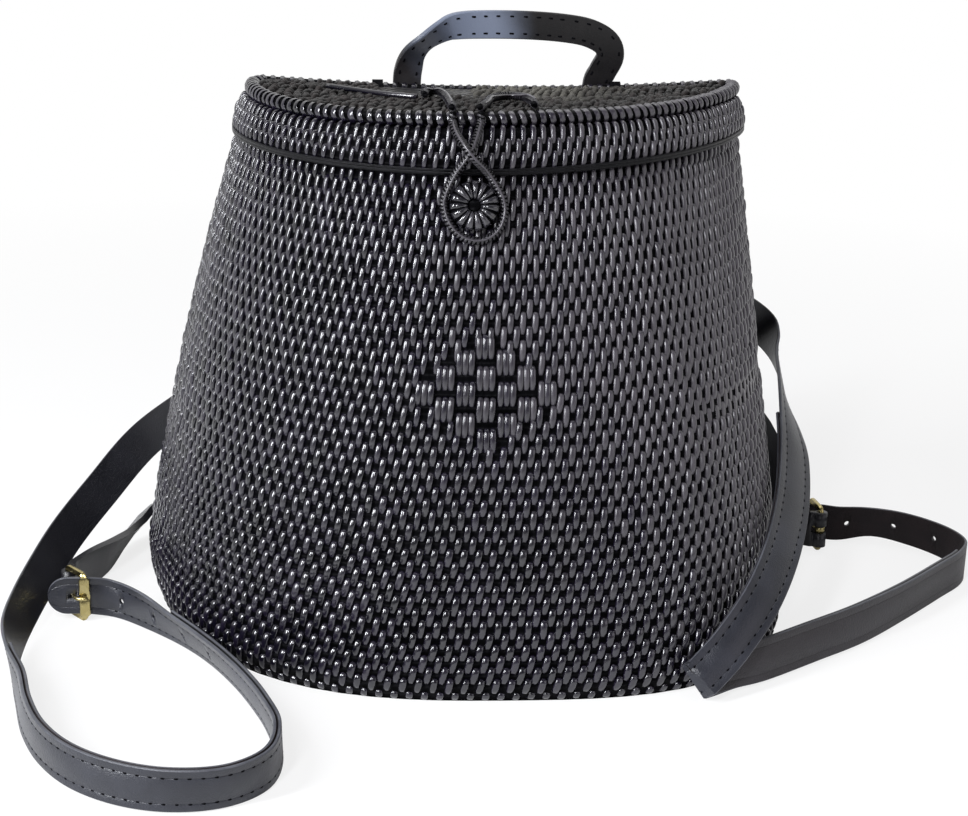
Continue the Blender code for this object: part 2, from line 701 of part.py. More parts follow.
def front_point(height, inset):
    _, depth, _, middle, drift = shell_sizes(height)
    return Vector((middle + drift, BACK_Y - depth + inset, height))


def build_button(group, cutters, wall):
    spot, normal, _ = front_frame(BUTTON_HEIGHT)
    normal = -normal if normal.y > 0 else normal
    matrix = axis_matrix(spot, normal)
    low = BUTTON_STANDOFF
    high = BUTTON_STANDOFF + BUTTON_THICKNESS
    edge = BUTTON_THICKNESS / 4
    bore = BUTTON_CORD_RADIUS + GAP
    floor = high - BUTTON_DIMPLE_DEPTH
    profile = [
        (bore, low), (bore, floor), (BUTTON_DIMPLE_RADIUS, floor), (BUTTON_DIMPLE_RADIUS, high - edge / 2),
        (BUTTON_DIMPLE_RADIUS + edge / 2, high), (BUTTON_RADIUS - 2 * edge, high),
        (BUTTON_RADIUS - edge / 2, high - edge), (BUTTON_RADIUS, high - 2 * edge),
        (BUTTON_RADIUS - edge / 2, low + edge / 2), (BUTTON_RADIUS - 2 * edge, low), (bore, low),
    ]
    turned("button", profile, matrix, group, "cord", BUTTON_SIDES)
    inner_face = -COLLAR_INSET - COLLAR_THICKNESS - GAP
    knot = inner_face - BUTTON_KNOT_LENGTH
    head = floor + GAP + BUTTON_HEAD_LENGTH
    profile = [
        (0.0, head), (BUTTON_HEAD_RADIUS, head), (BUTTON_HEAD_RADIUS, floor + GAP),
        (BUTTON_CORD_RADIUS, floor + GAP), (BUTTON_CORD_RADIUS, inner_face), (BUTTON_KNOT_RADIUS, inner_face),
        (BUTTON_KNOT_RADIUS, (inner_face + knot) / 2), (BUTTON_CORD_RADIUS, knot), (0.0, knot),
    ]
    turned("button_cord", profile, matrix, group, "cord", RIVET_SIDES)
    length = 4 * (WALL_THICKNESS + COLLAR_THICKNESS)
    hole = cylinder("button_hole", BUTTON_CORD_RADIUS + GAP, length, matrix, cutters, None)
    for target in wall:
        boolean(target, hole)


def lid_front():
    """Middle of the lid's front coil."""
    _, depth, _, middle, drift = shell_sizes(BASKET_HEIGHT)
    y = BACK_Y - depth - LID_PROUD + LID_COIL_RADIUS
    x = middle + drift
    return Vector((x, y, lid_edge_z(x, y) - LID_COIL_RADIUS))


def loop_axis_point():
    front = lid_front()
    reach = (LID_COIL_RADIUS + LOOP_CORD_RADIUS + GAP) * math.sqrt(0.5)
    return front + Vector((0.0, -reach - RUN_GAP, reach + RUN_GAP))


def build_closure_loop(group):
    """One cord: down one leg, across, round the button, across again and up the other leg."""
    spot, normal, up = front_frame(BUTTON_HEIGHT)
    normal = -normal if normal.y > 0 else normal
    side = Vector((1.0, 0.0, 0.0))
    lean = normal * LOOP_TOP_LEAN
    lift = LOOP_CORD_RADIUS + RUN_GAP
    lid_clearance = LID_PROUD + LOOP_CORD_RADIUS + 3 * RUN_GAP
    centre = spot + normal * lift
    axis = loop_axis_point()
    cross_low = centre + up * LOOP_CROSS_RISE
    skirt_y = front_point(SEAM_HEIGHT, 0.0).y - lid_clearance
    cross_back = Vector((cross_low.x, min(cross_low.y, skirt_y), cross_low.z))
    cross_front = cross_back + Vector((0.0, -2 * LOOP_CORD_RADIUS - GAP, 0.0))
    knee_z = cross_back.z + (axis.z - cross_back.z) * LOOP_KNEE_SHARE
    knee_y = front_point(knee_z, 0.0).y - lid_clearance
    start = axis + side * LOOP_LEG_SPREAD
    end = axis - side * LOOP_LEG_SPREAD
    route = [start, Vector((start.x, axis.y - GAP, axis.z - LOOP_CORD_RADIUS))]
    knee_reach = LOOP_LEG_SPREAD * LOOP_KNEE_SPREAD_SHARE
    route.append(Vector((axis.x + knee_reach, knee_y, knee_z)))
    route.append(cross_back)
    bend = math.radians(LOOP_WRAP_DEG)
    shoulder = (up + lean) * LOOP_BOTTOM_RADIUS * LOOP_SHOULDER_Z_SHARE
    shoulder_reach = side * LOOP_SIDE_RADIUS * LOOP_SHOULDER_X_SHARE
    route.append(centre - shoulder_reach + shoulder)
    for i in range(13):
        angle = math.pi - bend + (math.pi + 2 * bend) * i / 12
        drop = LOOP_BOTTOM_RADIUS if math.sin(angle) < 0 else LOOP_SIDE_RADIUS
        rise = drop * math.sin(angle)
        route.append(centre + side * LOOP_SIDE_RADIUS * math.cos(angle) + up * rise + lean * max(0.0, rise))
    route.append(centre + shoulder_reach + shoulder)
    route.append(cross_front)
    route.append(Vector((axis.x - knee_reach, knee_y - LOOP_CORD_RADIUS, knee_z)))
    route.append(Vector((end.x, axis.y - GAP, axis.z - LOOP_CORD_RADIUS)))
    route.append(end)
    path = resample(smooth_path(route, 8), LOOP_POINT_COUNT, False)
    return tube("closure_loop", path, LOOP_CORD_RADIUS, False, group, "cord")


def build_loop_roots(group):
    """The loop's two legs where they lie on the lid, and the thin cord that ties them."""
    axis = loop_axis_point()
    start_y = axis.y + 2 * LOOP_CORD_RADIUS
    pieces = []
    ends = (("loop_root_right", 1.0, RIGHT_ROOT_REACHES), ("loop_root_left", -1.0, LEFT_ROOT_REACHES))
    for name, sign, reaches in ends:
        route = []
        for out, back in reaches:
            x = axis.x + sign * (LOOP_LEG_SPREAD + out)
            y = start_y + back
            z = max(lid_edge_z(x, y), lid_edge_z(x, y - LOOP_CORD_RADIUS)) + LOOP_CORD_RADIUS + GAP
            route.append(Vector((x, y, z)))
        path = resample(smooth_path(route, 6), ROOT_POINT_COUNT, False)
        pieces.append(tube(name, path, LOOP_CORD_RADIUS, False, group, "cord"))
    last_out, last_back = LEFT_ROOT_REACHES[-1]
    start_x = axis.x - LOOP_LEG_SPREAD - last_out - LOOP_CORD_RADIUS - TIE_CORD_RADIUS - GAP
    route = []
    for out, back in TIE_CORD_REACHES:
        x = start_x - out
        y = start_y + last_back + back
        route.append(Vector((x, y, lid_edge_z(x, y) + TIE_CORD_RADIUS + GAP)))
    path = resample(smooth_path(route, 6), 20, False)
    pieces.append(tube("tie_cord", path, TIE_CORD_RADIUS, False, group, "cord"))
    return pieces


# Ribbons
def smooth_path(points, steps):
    """Catmull-Rom curve through the points."""
    path = []
    last = len(points) - 1
    for i in range(last):
        before = points[max(0, i - 1)]
        first = points[i]
        second = points[i + 1]
        after = points[min(last, i + 2)]
        for k in range(steps):
            t = k / steps
            path.append(blend_points(before, first, second, after, t))
    path.append(points[last])
    return path


def blend_points(before, first, second, after, t):
    pull = second - before
    push = after - first
    curve = (2 * first + pull * t
             + (2 * before - 5 * first + 4 * second - after) * t * t
             + (3 * first - before - 3 * second + after) * t * t * t)
    return curve / 2


def edge_direction(azimuth, elevation):
    flat = math.cos(math.radians(elevation))
    turn = math.radians(azimuth)
    return Vector((flat * math.cos(turn), flat * math.sin(turn), math.sin(math.radians(elevation))))


class Ribbon:
    """A strap's middle line with the direction of its upper edge at each step."""

    def __init__(self, points, edges, step):
        fine_points = smooth_path(points, 10)
        fine_edges = smooth_path(edges, 10)
        marks = [0.0]
        for first, second in zip(fine_points, fine_points[1:]):
            marks.append(marks[-1] + (second - first).length)
        self.length = marks[-1]
        self.station_marks = [marks[i * 10] for i in range(len(points))]
        self.fine = list(zip(marks, fine_points, fine_edges))
        self.step = step

    def at(self, mark):
        """Point, tangent, upper edge direction and face normal at a length along it."""
        mark = min(max(mark, 0.0), self.length)
        index = 0
        while index < len(self.fine) - 2 and self.fine[index + 1][0] < mark:
            index += 1
        low, first, first_edge = self.fine[index]
        high, second, second_edge = self.fine[index + 1]
        mix = (mark - low) / (high - low)
        point = first.lerp(second, mix)
        before = self.fine[max(0, index - 1)][1]
        after = self.fine[min(len(self.fine) - 1, index + 2)][1]
        tangent = (after - before).normalized()
        edge = first_edge.lerp(second_edge, mix)
        edge = (edge - tangent * edge.dot(tangent)).normalized()
        return point, tangent, edge, tangent.cross(edge)

    def marks_between(self, start, end):
        """Marks along a stretch, the same ones for every layer of the strap."""
        marks = []
        for low, high in zip(self.station_marks, self.station_marks[1:]):
            count = max(2, round((high - low) / self.step))
            marks += [low + (high - low) * i / count for i in range(count)]
        marks.append(self.length)
        near = self.step / 100
        return [mark for mark in marks if start - near < mark < end + near]

    def sections(self, start, end, width, thickness, offset, tip=0.0):
        marks = self.marks_between(start, end)
        if tip > 0:
            marks = [mark for mark in marks if mark < end - tip]
            marks += [end - tip * share for share in (1.0, 0.7, 0.45, 0.22, 0.06)]
        result = []
        for mark in marks:
            point, _, edge, normal = self.at(mark)
            half = width / 2
            if tip > 0 and mark > end - tip:
                left = (end - mark) / tip
                half *= math.sqrt(max(0.05, 1 - (1 - left) ** 2))
            middle = point + normal * offset
            face = normal * thickness / 2
            result.append([middle + edge * half + face, middle + edge * half - face,
                           middle - edge * half - face, middle - edge * half + face])
        return result


def share_point(x, y, z):
    return Vector((x, y, z)) * BASKET_HEIGHT


def on_wall(x, z, offset):
    return Vector((x * BASKET_HEIGHT, BACK_Y + offset, z * BASKET_HEIGHT))


def strap_ribbon(side):
    """Route of a shoulder strap from the back wall, through its buckle, to the tail's tip."""
    left = side == "left"
    wall_shares = LEFT_WALL_SHARES if left else RIGHT_WALL_SHARES
    free_shares = LEFT_ROUTE_SHARES if left else RIGHT_ROUTE_SHARES
    sign = -1.0 if left else 1.0
    offset = GAP + STRAP_LAYER / 2 - STRAP_LAYER_OFFSET
    points = [Vector((LEAN_X + sign * STRAP_TOP_SPREAD, BACK_Y + offset, STRAP_TOP_Z))]
    points += [on_wall(x, z, offset + RUN_GAP * (i + 1)) for i, (x, z) in enumerate(wall_shares)]
    slope = (points[-1] - points[0]).normalized()
    upper = Vector((0.0, -sign, 0.0)).cross(slope)
    edges = [upper] * len(points)
    for x, y, z, azimuth, elevation in free_shares:
        points.append(share_point(x, y, z))
        edges.append(edge_direction(azimuth, elevation))
    frame = buckle_frame(side)
    for reach in (-BUCKLE_BAR_SPACING, 0.0, TAIL_PAST_BAR):
        point = frame["middle"] + frame["heading"] * reach
        point.z = STRAP_FLOOR_Z if reach < 0 else BUCKLE_Z
        points.append(point)
        edges.append(Vector((0.0, 0.0, 1.0)))
    return Ribbon(points, edges, STRAP_STEP)


def buckle_frame(side):
    """Bars of a buckle, with the heading of the tail through it and the way it faces."""
    left = side == "left"
    x, y = LEFT_BAR_SHARES if left else RIGHT_BAR_SHARES
    turn = math.radians(LEFT_TAIL_HEADING_DEG if left else RIGHT_TAIL_HEADING_DEG)
    tilt = math.radians(LEFT_BUCKLE_TILT_DEG if left else RIGHT_BUCKLE_TILT_DEG)
    heading = Vector((math.cos(turn), math.sin(turn), 0.0))
    across = heading.cross(Vector((0.0, 0.0, 1.0)))
    front = -across if left else across
    front_bar = Vector((x * BASKET_HEIGHT, y * BASKET_HEIGHT, BUCKLE_Z))
    over = STRAP_LAYER_OFFSET + STRAP_LAYER / 2 + GAP + BUCKLE_WIRE_RADIUS
    hinge_bar = front_bar + (heading * math.cos(tilt) - front * math.sin(tilt)) * BUCKLE_BAR_SPACING
    return {"front_bar": front_bar, "hinge_bar": hinge_bar, "heading": heading, "front": front,
            "middle": front_bar - front * over}


def build_strap(side, group, cutters):
    left = side == "left"
    ribbon = strap_ribbon(side)
    marks = ribbon.station_marks
    grain = STRAP_LAYER_OFFSET if left else -STRAP_LAYER_OFFSET
    first_end = marks[LEFT_FIRST_LAYER_END if left else RIGHT_FIRST_LAYER_END]
    second_start = marks[LEFT_SECOND_LAYER_START if left else RIGHT_SECOND_LAYER_START]
    upper = ribbon.sections(0.0, first_end, STRAP_WIDTH, STRAP_LAYER, grain)
    lower = ribbon.sections(second_start, ribbon.length, STRAP_WIDTH, STRAP_LAYER, -grain, TAIL_TIP_LENGTH)
    first = ribbon_solid("strap_%s_upper" % side, upper, group, "leather")
    second = ribbon_solid("strap_%s_lower" % side, lower, group, "leather")
    cut_prong_slot(side, second, cutters)
    bar_mark = marks[-2]
    for i in range(1, STRAP_HOLE_COUNT + 1):
        point, tangent, _, normal = ribbon.at(bar_mark + PRONG_HOLE_FROM_BAR - STRAP_HOLE_PITCH * i)
        matrix = axis_matrix(point - normal * grain, normal, tangent)
        name = "strap_hole_%s_%d" % (side, i)
        hole = cylinder(name, STRAP_HOLE_RADIUS, 2 * STRAP_LAYER, matrix, cutters, None, 8)
        boolean(second, hole)
    return first, ribbon


def cut_prong_slot(side, tail, cutters):
    """The hole in use: long enough for the prong to lift by its small play."""
    frame = buckle_frame(side)
    reach = (frame["hinge_bar"] - frame["middle"]).length
    play = reach * math.radians(PRONG_LIFT_DEG)
    room = 2 * (PRONG_RADIUS + RUN_GAP)
    spot = frame["middle"] + frame["heading"] * (PRONG_HOLE_FROM_BAR + play / 2)
    spot += frame["front"] * STRAP_LAYER_OFFSET
    matrix = axis_matrix(spot, frame["front"], frame["heading"])
    size = (room + play, PRONG_SLOT_WIDTH, 6 * STRAP_LAYER)
    boolean(tail, box("prong_slot_%s" % side, size, matrix, cutters, None))


# Buckles, prongs and the short straps that carry them
def build_buckle(side, group):
    frame = buckle_frame(side)
    front_bar = frame["front_bar"]
    hinge_bar = frame["hinge_bar"]
    half = STRAP_WIDTH / 2 + BUCKLE_SIDE_CLEARANCE + BUCKLE_WIRE_RADIUS - BUCKLE_CORNER_RADIUS
    middle = (front_bar + hinge_bar) / 2
    across = (hinge_bar - front_bar).normalized()
    reach = BUCKLE_BAR_SPACING / 2 - BUCKLE_CORNER_RADIUS
    up = Vector((0.0, 0.0, 1.0))
    points = []
    for corner in range(4):
        out = 1.0 if corner in (0, 3) else -1.0
        rise = 1.0 if corner in (0, 1) else -1.0
        pivot = middle + across * out * reach + up * rise * half
        for i in range(4):
            angle = math.radians(90) * (corner + i / 3)
            points.append(pivot + (across * math.cos(angle) + up * math.sin(angle)) * BUCKLE_CORNER_RADIUS)
    return tube("buckle_%s" % side, points, BUCKLE_WIRE_RADIUS, True, group, "brass")


def build_prong(side, group, cutters):
    """Prong from its eye on the hinge bar, through the tail's hole, to rest on the front bar."""
    frame = buckle_frame(side)
    heading = frame["heading"]
    front = frame["front"]
    front_bar = frame["front_bar"]
    hinge_bar = frame["hinge_bar"]
    up = Vector((0.0, 0.0, 1.0))
    rest = BUCKLE_WIRE_RADIUS + PRONG_RADIUS + GAP
    hole = frame["middle"] + heading * PRONG_HOLE_FROM_BAR + front * STRAP_LAYER_OFFSET
    toward = (hole - hinge_bar).normalized()
    start = hinge_bar + toward * (PRONG_EYE_RADIUS + BUCKLE_WIRE_RADIUS) / 2
    past = hole + toward * 3 * PRONG_RADIUS
    bend = front_bar + front * (rest - PRONG_RADIUS / 2) + heading * 3 * PRONG_RADIUS
    over = front_bar + front * rest
    tip = over - heading * PRONG_TIP_OVERHANG - front * PRONG_RADIUS / 3
    path = resample(smooth_path([start, hole, past, bend, over, tip], 6), 14, False)
    finger = as_mesh(tube("prong_%s" % side, path, PRONG_RADIUS, False, group, "brass"), group, "brass")
    eye_matrix = axis_matrix(hinge_bar, up, heading)
    eye = cylinder("prong_eye_%s" % side, PRONG_EYE_RADIUS, PRONG_EYE_WIDTH, eye_matrix, cutters, None, 16)
    bore = cylinder("prong_bore_%s" % side, BUCKLE_WIRE_RADIUS + GAP, 3 * PRONG_EYE_WIDTH,
                    eye_matrix, cutters, None, 16)
    boolean(finger, eye, "UNION")
    boolean(finger, bore)
    return finger


def build_short_strap(side, group, cutters):
    left = side == "left"
    free = LEFT_SHORT_SHARES if left else RIGHT_SHORT_SHARES
    wall = LEFT_SHORT_WALL_SHARES if left else RIGHT_SHORT_WALL_SHARES
    hinge_bar = buckle_frame(side)["hinge_bar"]
    up = Vector((0.0, 0.0, 1.0))
    offset = GAP + SHORT_STRAP_LAYER / 2
    first = share_point(*free[0][:3])
    away = (first - hinge_bar)
    away.z = 0.0
    away.normalize()
    eye_reach = STRAP_EYE_REACH_SHARE * STRAP_EYE_RADIUS
    points = [hinge_bar + away * (BUCKLE_WIRE_RADIUS + STRAP_EYE_RADIUS) / 2, hinge_bar + away * eye_reach]
    edges = [up, up]
    for x, y, z, azimuth, elevation in free:
        points.append(share_point(x, y, z))
        edges.append(edge_direction(azimuth, elevation))
    ends = [on_wall(x, z, offset) for x, z in wall]
    ends[0].y += 2 * RUN_GAP
    run = (ends[-1] - ends[0]).normalized()
    upper = run.cross(Vector((0.0, 1.0, 0.0)))
    if upper.z < 0:
        upper = -upper
    points += ends
    edges += [upper] * len(ends)
    ribbon = Ribbon(points, edges, SHORT_STRAP_STEP)
    sections = ribbon.sections(0.0, ribbon.length, STRAP_WIDTH, SHORT_STRAP_LAYER, 0.0)
    strap = ribbon_solid("short_strap_%s" % side, sections, group, "leather")
    matrix = axis_matrix(hinge_bar, up, away)
    eye = cylinder("strap_eye_%s" % side, STRAP_EYE_RADIUS, STRAP_WIDTH, matrix, cutters, None, 16)
    bore = cylinder("strap_bore_%s" % side, BUCKLE_WIRE_RADIUS + GAP, 2 * STRAP_WIDTH, matrix, cutters, None, 16)
    slot_size = (eye_reach, eye_reach, STRAP_EYE_SLOT)
    slot = box("strap_slot_%s" % side, slot_size, matrix, cutters, None)
    boolean(strap, eye, "UNION")
    boolean(strap, bore)
    boolean(strap, slot)
    return strap, ribbon


# Rivets
def build_rivet(name, point, stack, inner, group, cutters, targets):
    """Rivet through leather and wall, from the head's seat to the inner face of the stack."""
    matrix = axis_matrix(point, (0.0, 1.0, 0.0))
    head = stack + GAP
    tail = -inner - GAP
    profile = [
        (0.0, head + RIVET_HEAD_HEIGHT),
        (RIVET_HEAD_RADIUS * RIVET_DOME_RADIUS_SHARE, head + RIVET_HEAD_HEIGHT * RIVET_DOME_HEIGHT_SHARE),
        (RIVET_HEAD_RADIUS, head), (RIVET_SHANK_RADIUS, head), (RIVET_SHANK_RADIUS, tail),
        (RIVET_HEAD_RADIUS, tail), (RIVET_HEAD_RADIUS, tail - RIVET_HEAD_HEIGHT / 2),
        (0.0, tail - RIVET_HEAD_HEIGHT / 2),
    ]
    turned(name, profile, matrix, group, "dark_metal")
    length = 4 * (stack + inner)
    hole = cylinder(name + "_hole", RIVET_SHANK_RADIUS + GAP, length, matrix, cutters, None, 10)
    for target in targets:
        boolean(target, hole)


def wall_spot(ribbon, mark):
    point, _, _, _ = ribbon.at(mark)
    return Vector((point.x, BACK_Y, point.z))


# Handle
def handle_y():
    return BACK_Y + GAP + HANDLE_THICKNESS / 2


def handle_axis_point():
    """Where the leather folds: the outer top edge of the feet."""
    return Vector(((HANDLE_LEFT_X + HANDLE_RIGHT_X) / 2, BACK_Y + GAP + HANDLE_THICKNESS, HANDLE_HINGE_HEIGHT))


def build_handle(group, cutters, wall, collar):
    span = HANDLE_RIGHT_X - HANDLE_LEFT_X
    y = handle_y()
    points = []
    for across, rise, _ in HANDLE_ROUTE_SHARES:
        z = HANDLE_HINGE_HEIGHT + GAP / 2 + HANDLE_RISE * rise
        points.append(Vector((HANDLE_LEFT_X + span * across, y, z)))
    path = smooth_path(points, 3)
    twists = smooth_path([Vector((twist, 0.0)) for _, _, twist in HANDLE_ROUTE_SHARES], 3)
    sections = []
    count = len(path)
    depth = Vector((0.0, HANDLE_THICKNESS / 2, 0.0))
    for i, point in enumerate(path):
        run = (path[min(count - 1, i + 1)] - path[max(0, i - 1)]).normalized()
        if i in (0, count - 1):
            run = Vector((0.0, 0.0, 1.0 if i == 0 else -1.0))
        turn = Matrix.Rotation(math.radians(twists[i].x), 3, run)
        out = turn @ Vector((-run.z, 0.0, run.x)) * HANDLE_WIDTH / 2
        face = turn @ depth
        sections.append([point + out + face, point + out - face, point - out - face, point - out + face])
    handle = loft("handle", sections, False, group, "leather", smooth=False)
    for side, x in (("left", HANDLE_LEFT_X), ("right", HANDLE_RIGHT_X)):
        top = HANDLE_HINGE_HEIGHT - GAP / 2
        size = (HANDLE_WIDTH, HANDLE_THICKNESS, HANDLE_FOOT_LENGTH)
        spot = Matrix.Translation((x, y, top - HANDLE_FOOT_LENGTH / 2))
        foot = box("handle_foot_%s" % side, size, spot, group, "leather")
        for i in range(2):
            z = top - HANDLE_FOOT_LENGTH + RIVET_END_MARGIN + RIVET_PITCH * i
            name = "rivet_handle_%s_%d" % (side, i + 1)
            through_collar = z > SEAM_HEIGHT - COLLAR_DEPTH_BELOW_SEAM - RIVET_HEAD_RADIUS
            inner = COLLAR_INSET + COLLAR_THICKNESS if through_collar else WALL_THICKNESS
            held = (foot, wall, collar) if through_collar else (foot, wall)
            build_rivet(name, Vector((x, BACK_Y, z)), GAP + HANDLE_THICKNESS, inner, group, cutters, held)
    return handle


def main():
    clear_scene()
    group = make_collection(PART_NAME)
    cutters = make_collection(CUTTER_NAME)
    wall = build_body_wall(group)
    build_base_panel(group)
    collar = build_collar(group)
    build_mouth_coil(group)
    panel = build_lid_panel(group)
    lid = [build_lid_coil(group), panel, build_lid_skirt(group), build_lid_rim(group)]
    for name, x in zip(("hinge_ring_left", "hinge_ring_right"), hinge_places()):
        build_hinge_ring(name, x, group)
    cut_hinge_notches(panel, collar, cutters)
    build_button(group, cutters, (wall, collar))
    loop = build_closure_loop(group)
    lid += build_loop_roots(group)
    lid_axis = Vector((LEAN_X, HINGE_Y, hinge_axis_z()))
    lid_pivot = hang_on_axis("lid_axis", lid_axis, lid, group)
    hang_on_axis("loop_axis", loop_axis_point(), [loop], group, lid_pivot)
    handle = build_handle(group, cutters, wall, collar)
    hang_on_axis("handle_axis", handle_axis_point(), [handle], group)
    for side in ("left", "right"):
        strap, ribbon = build_strap(side, group, cutters)
        for i in range(2):
            mark = RIVET_END_MARGIN + RIVET_PITCH * i
            name = "rivet_upper_%s_%d" % (side, i + 1)
            build_rivet(name, wall_spot(ribbon, mark), GAP + STRAP_LAYER, WALL_THICKNESS, group, cutters, (strap, wall))
        build_buckle(side, group)
        prong = build_prong(side, group, cutters)
        hang_on_axis("prong_axis_%s" % side, buckle_frame(side)["hinge_bar"], [prong], group)
        short, short_ribbon = build_short_strap(side, group, cutters)
        for i in range(2):
            mark = short_ribbon.length - RIVET_END_MARGIN - RIVET_PITCH * i
            name = "rivet_lower_%s_%d" % (side, i + 1)
            spot = wall_spot(short_ribbon, mark)
            build_rivet(name, spot, GAP + SHORT_STRAP_LAYER, WALL_THICKNESS, group, cutters, (short, wall))


main()
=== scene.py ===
"""Looks of a black woven pack basket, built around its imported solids.

Metres, +Z up, the basket's front faces -Y. Every strand, stitch and band sits on the solid that carries it.
"""

import json
import logging
import math
import random
from dataclasses import dataclass, field
from enum import Enum
from typing import Callable, Dict, List, Optional, Sequence, Tuple

import bmesh
import bpy
from mathutils import Matrix, Vector

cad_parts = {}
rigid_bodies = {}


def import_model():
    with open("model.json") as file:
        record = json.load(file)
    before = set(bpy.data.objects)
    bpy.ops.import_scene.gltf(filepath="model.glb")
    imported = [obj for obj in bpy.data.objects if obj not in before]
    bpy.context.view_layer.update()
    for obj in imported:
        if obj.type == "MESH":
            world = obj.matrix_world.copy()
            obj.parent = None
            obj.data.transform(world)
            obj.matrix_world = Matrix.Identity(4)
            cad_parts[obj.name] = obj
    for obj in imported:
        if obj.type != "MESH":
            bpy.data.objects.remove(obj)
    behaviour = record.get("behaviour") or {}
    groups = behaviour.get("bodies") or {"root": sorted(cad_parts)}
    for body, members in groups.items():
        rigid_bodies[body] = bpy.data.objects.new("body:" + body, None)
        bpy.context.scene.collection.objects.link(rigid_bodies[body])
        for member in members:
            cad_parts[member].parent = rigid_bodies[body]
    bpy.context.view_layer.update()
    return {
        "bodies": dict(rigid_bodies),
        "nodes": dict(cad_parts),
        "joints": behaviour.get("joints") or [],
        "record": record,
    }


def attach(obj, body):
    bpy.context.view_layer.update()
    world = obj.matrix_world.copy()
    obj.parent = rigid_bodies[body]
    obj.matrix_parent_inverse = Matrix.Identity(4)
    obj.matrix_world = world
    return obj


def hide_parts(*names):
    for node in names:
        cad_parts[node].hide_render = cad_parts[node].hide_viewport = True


LOG = logging.getLogger("pack_basket")
GAP = 0.0003
RUN_GAP = 0.0005
UP = Vector((0.0, 0.0, 1.0))
SIDE = Vector((1.0, 0.0, 0.0))
WHIP_SIDE = Vector((0.0, -1.0, 0.3))
LAID_SIDE = Vector((0.0, -1.0, 0.25))
Pair = Tuple[float, float]
Triple = Tuple[float, float, float]
Colour = Tuple[float, float, float, float]
Piece = bpy.types.Object
Socket = bpy.types.NodeSocket
Material = bpy.types.Material


class Body(Enum):
    """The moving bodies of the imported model."""

    BASKET = "basket"
    LID = "lid"
    LOOP = "loop"
    HANDLE = "carry_handle"
    LEFT_PRONG = "left_prong"
    RIGHT_PRONG = "right_prong"


class Slot(Enum):
    """The record's material slots."""

    CANE = "cane"
    CANE_MATTE = "cane_matte"
    CORD = "cord"
    LEATHER = "leather"
    BRASS = "brass"
    DARK_METAL = "dark_metal"


class Side(Enum):
    """Left or right, as the front is seen."""

    LEFT = "left"
    RIGHT = "right"


# Paths
def blend_points(before: Vector, first: Vector, second: Vector, after: Vector, t: float) -> Vector:
    """Catmull-Rom blend between the two middle points.

    Args:
        before: Point before the stretch.
        first: Where the stretch starts.
        second: Where the stretch ends.
        after: Point after the stretch.
        t: Share of the stretch.

    Returns:
        The point at that share.
    """
    pull = second - before
    curve = (2 * first + pull * t
             + (2 * before - 5 * first + 4 * second - after) * t * t
             + (3 * first - before - 3 * second + after) * t * t * t)
    return curve / 2


def smooth_path(points: Sequence[Vector], steps: int) -> List[Vector]:
    """Curve through the points.

    Args:
        points: What the curve goes through.
        steps: Points for each stretch.

    Returns:
        The curve's points.
    """
    last = len(points) - 1
    path = []
    for i in range(last):
        near = (points[max(0, i - 1)], points[i], points[i + 1], points[min(last, i + 2)])
        path += [blend_points(*near, k / steps) for k in range(steps)]
    path.append(points[last])
    return path


def resample(points: Sequence[Vector], count: int, closed: bool) -> List[Vector]:
    """Spread points evenly along a polyline.

    Args:
        points: The polyline.
        count: How many points come back.
        closed: Whether the last point joins the first.

    Returns:
        The even points.
    """
    path = [Vector(p) for p in points]
    if closed:
        path.append(path[0])
    lengths = [0.0]
    for first, second in zip(path, path[1:]):
        lengths.append(lengths[-1] + (second - first).length)
    spaces = count if closed else count - 1
    result = []
    segment = 0
    for i in range(count):
        target = lengths[-1] * i / spaces
        while segment < len(path) - 2 and lengths[segment + 1] < target:
            segment += 1
        span = lengths[segment + 1] - lengths[segment]
        mix = (target - lengths[segment]) / span if span > 0 else 0.0
        result.append(path[segment].lerp(path[segment + 1], mix))
    return result


def path_length(points: Sequence[Vector]) -> float:
    """Length of a polyline."""
    return sum((b - a).length for a, b in zip(points, points[1:]))


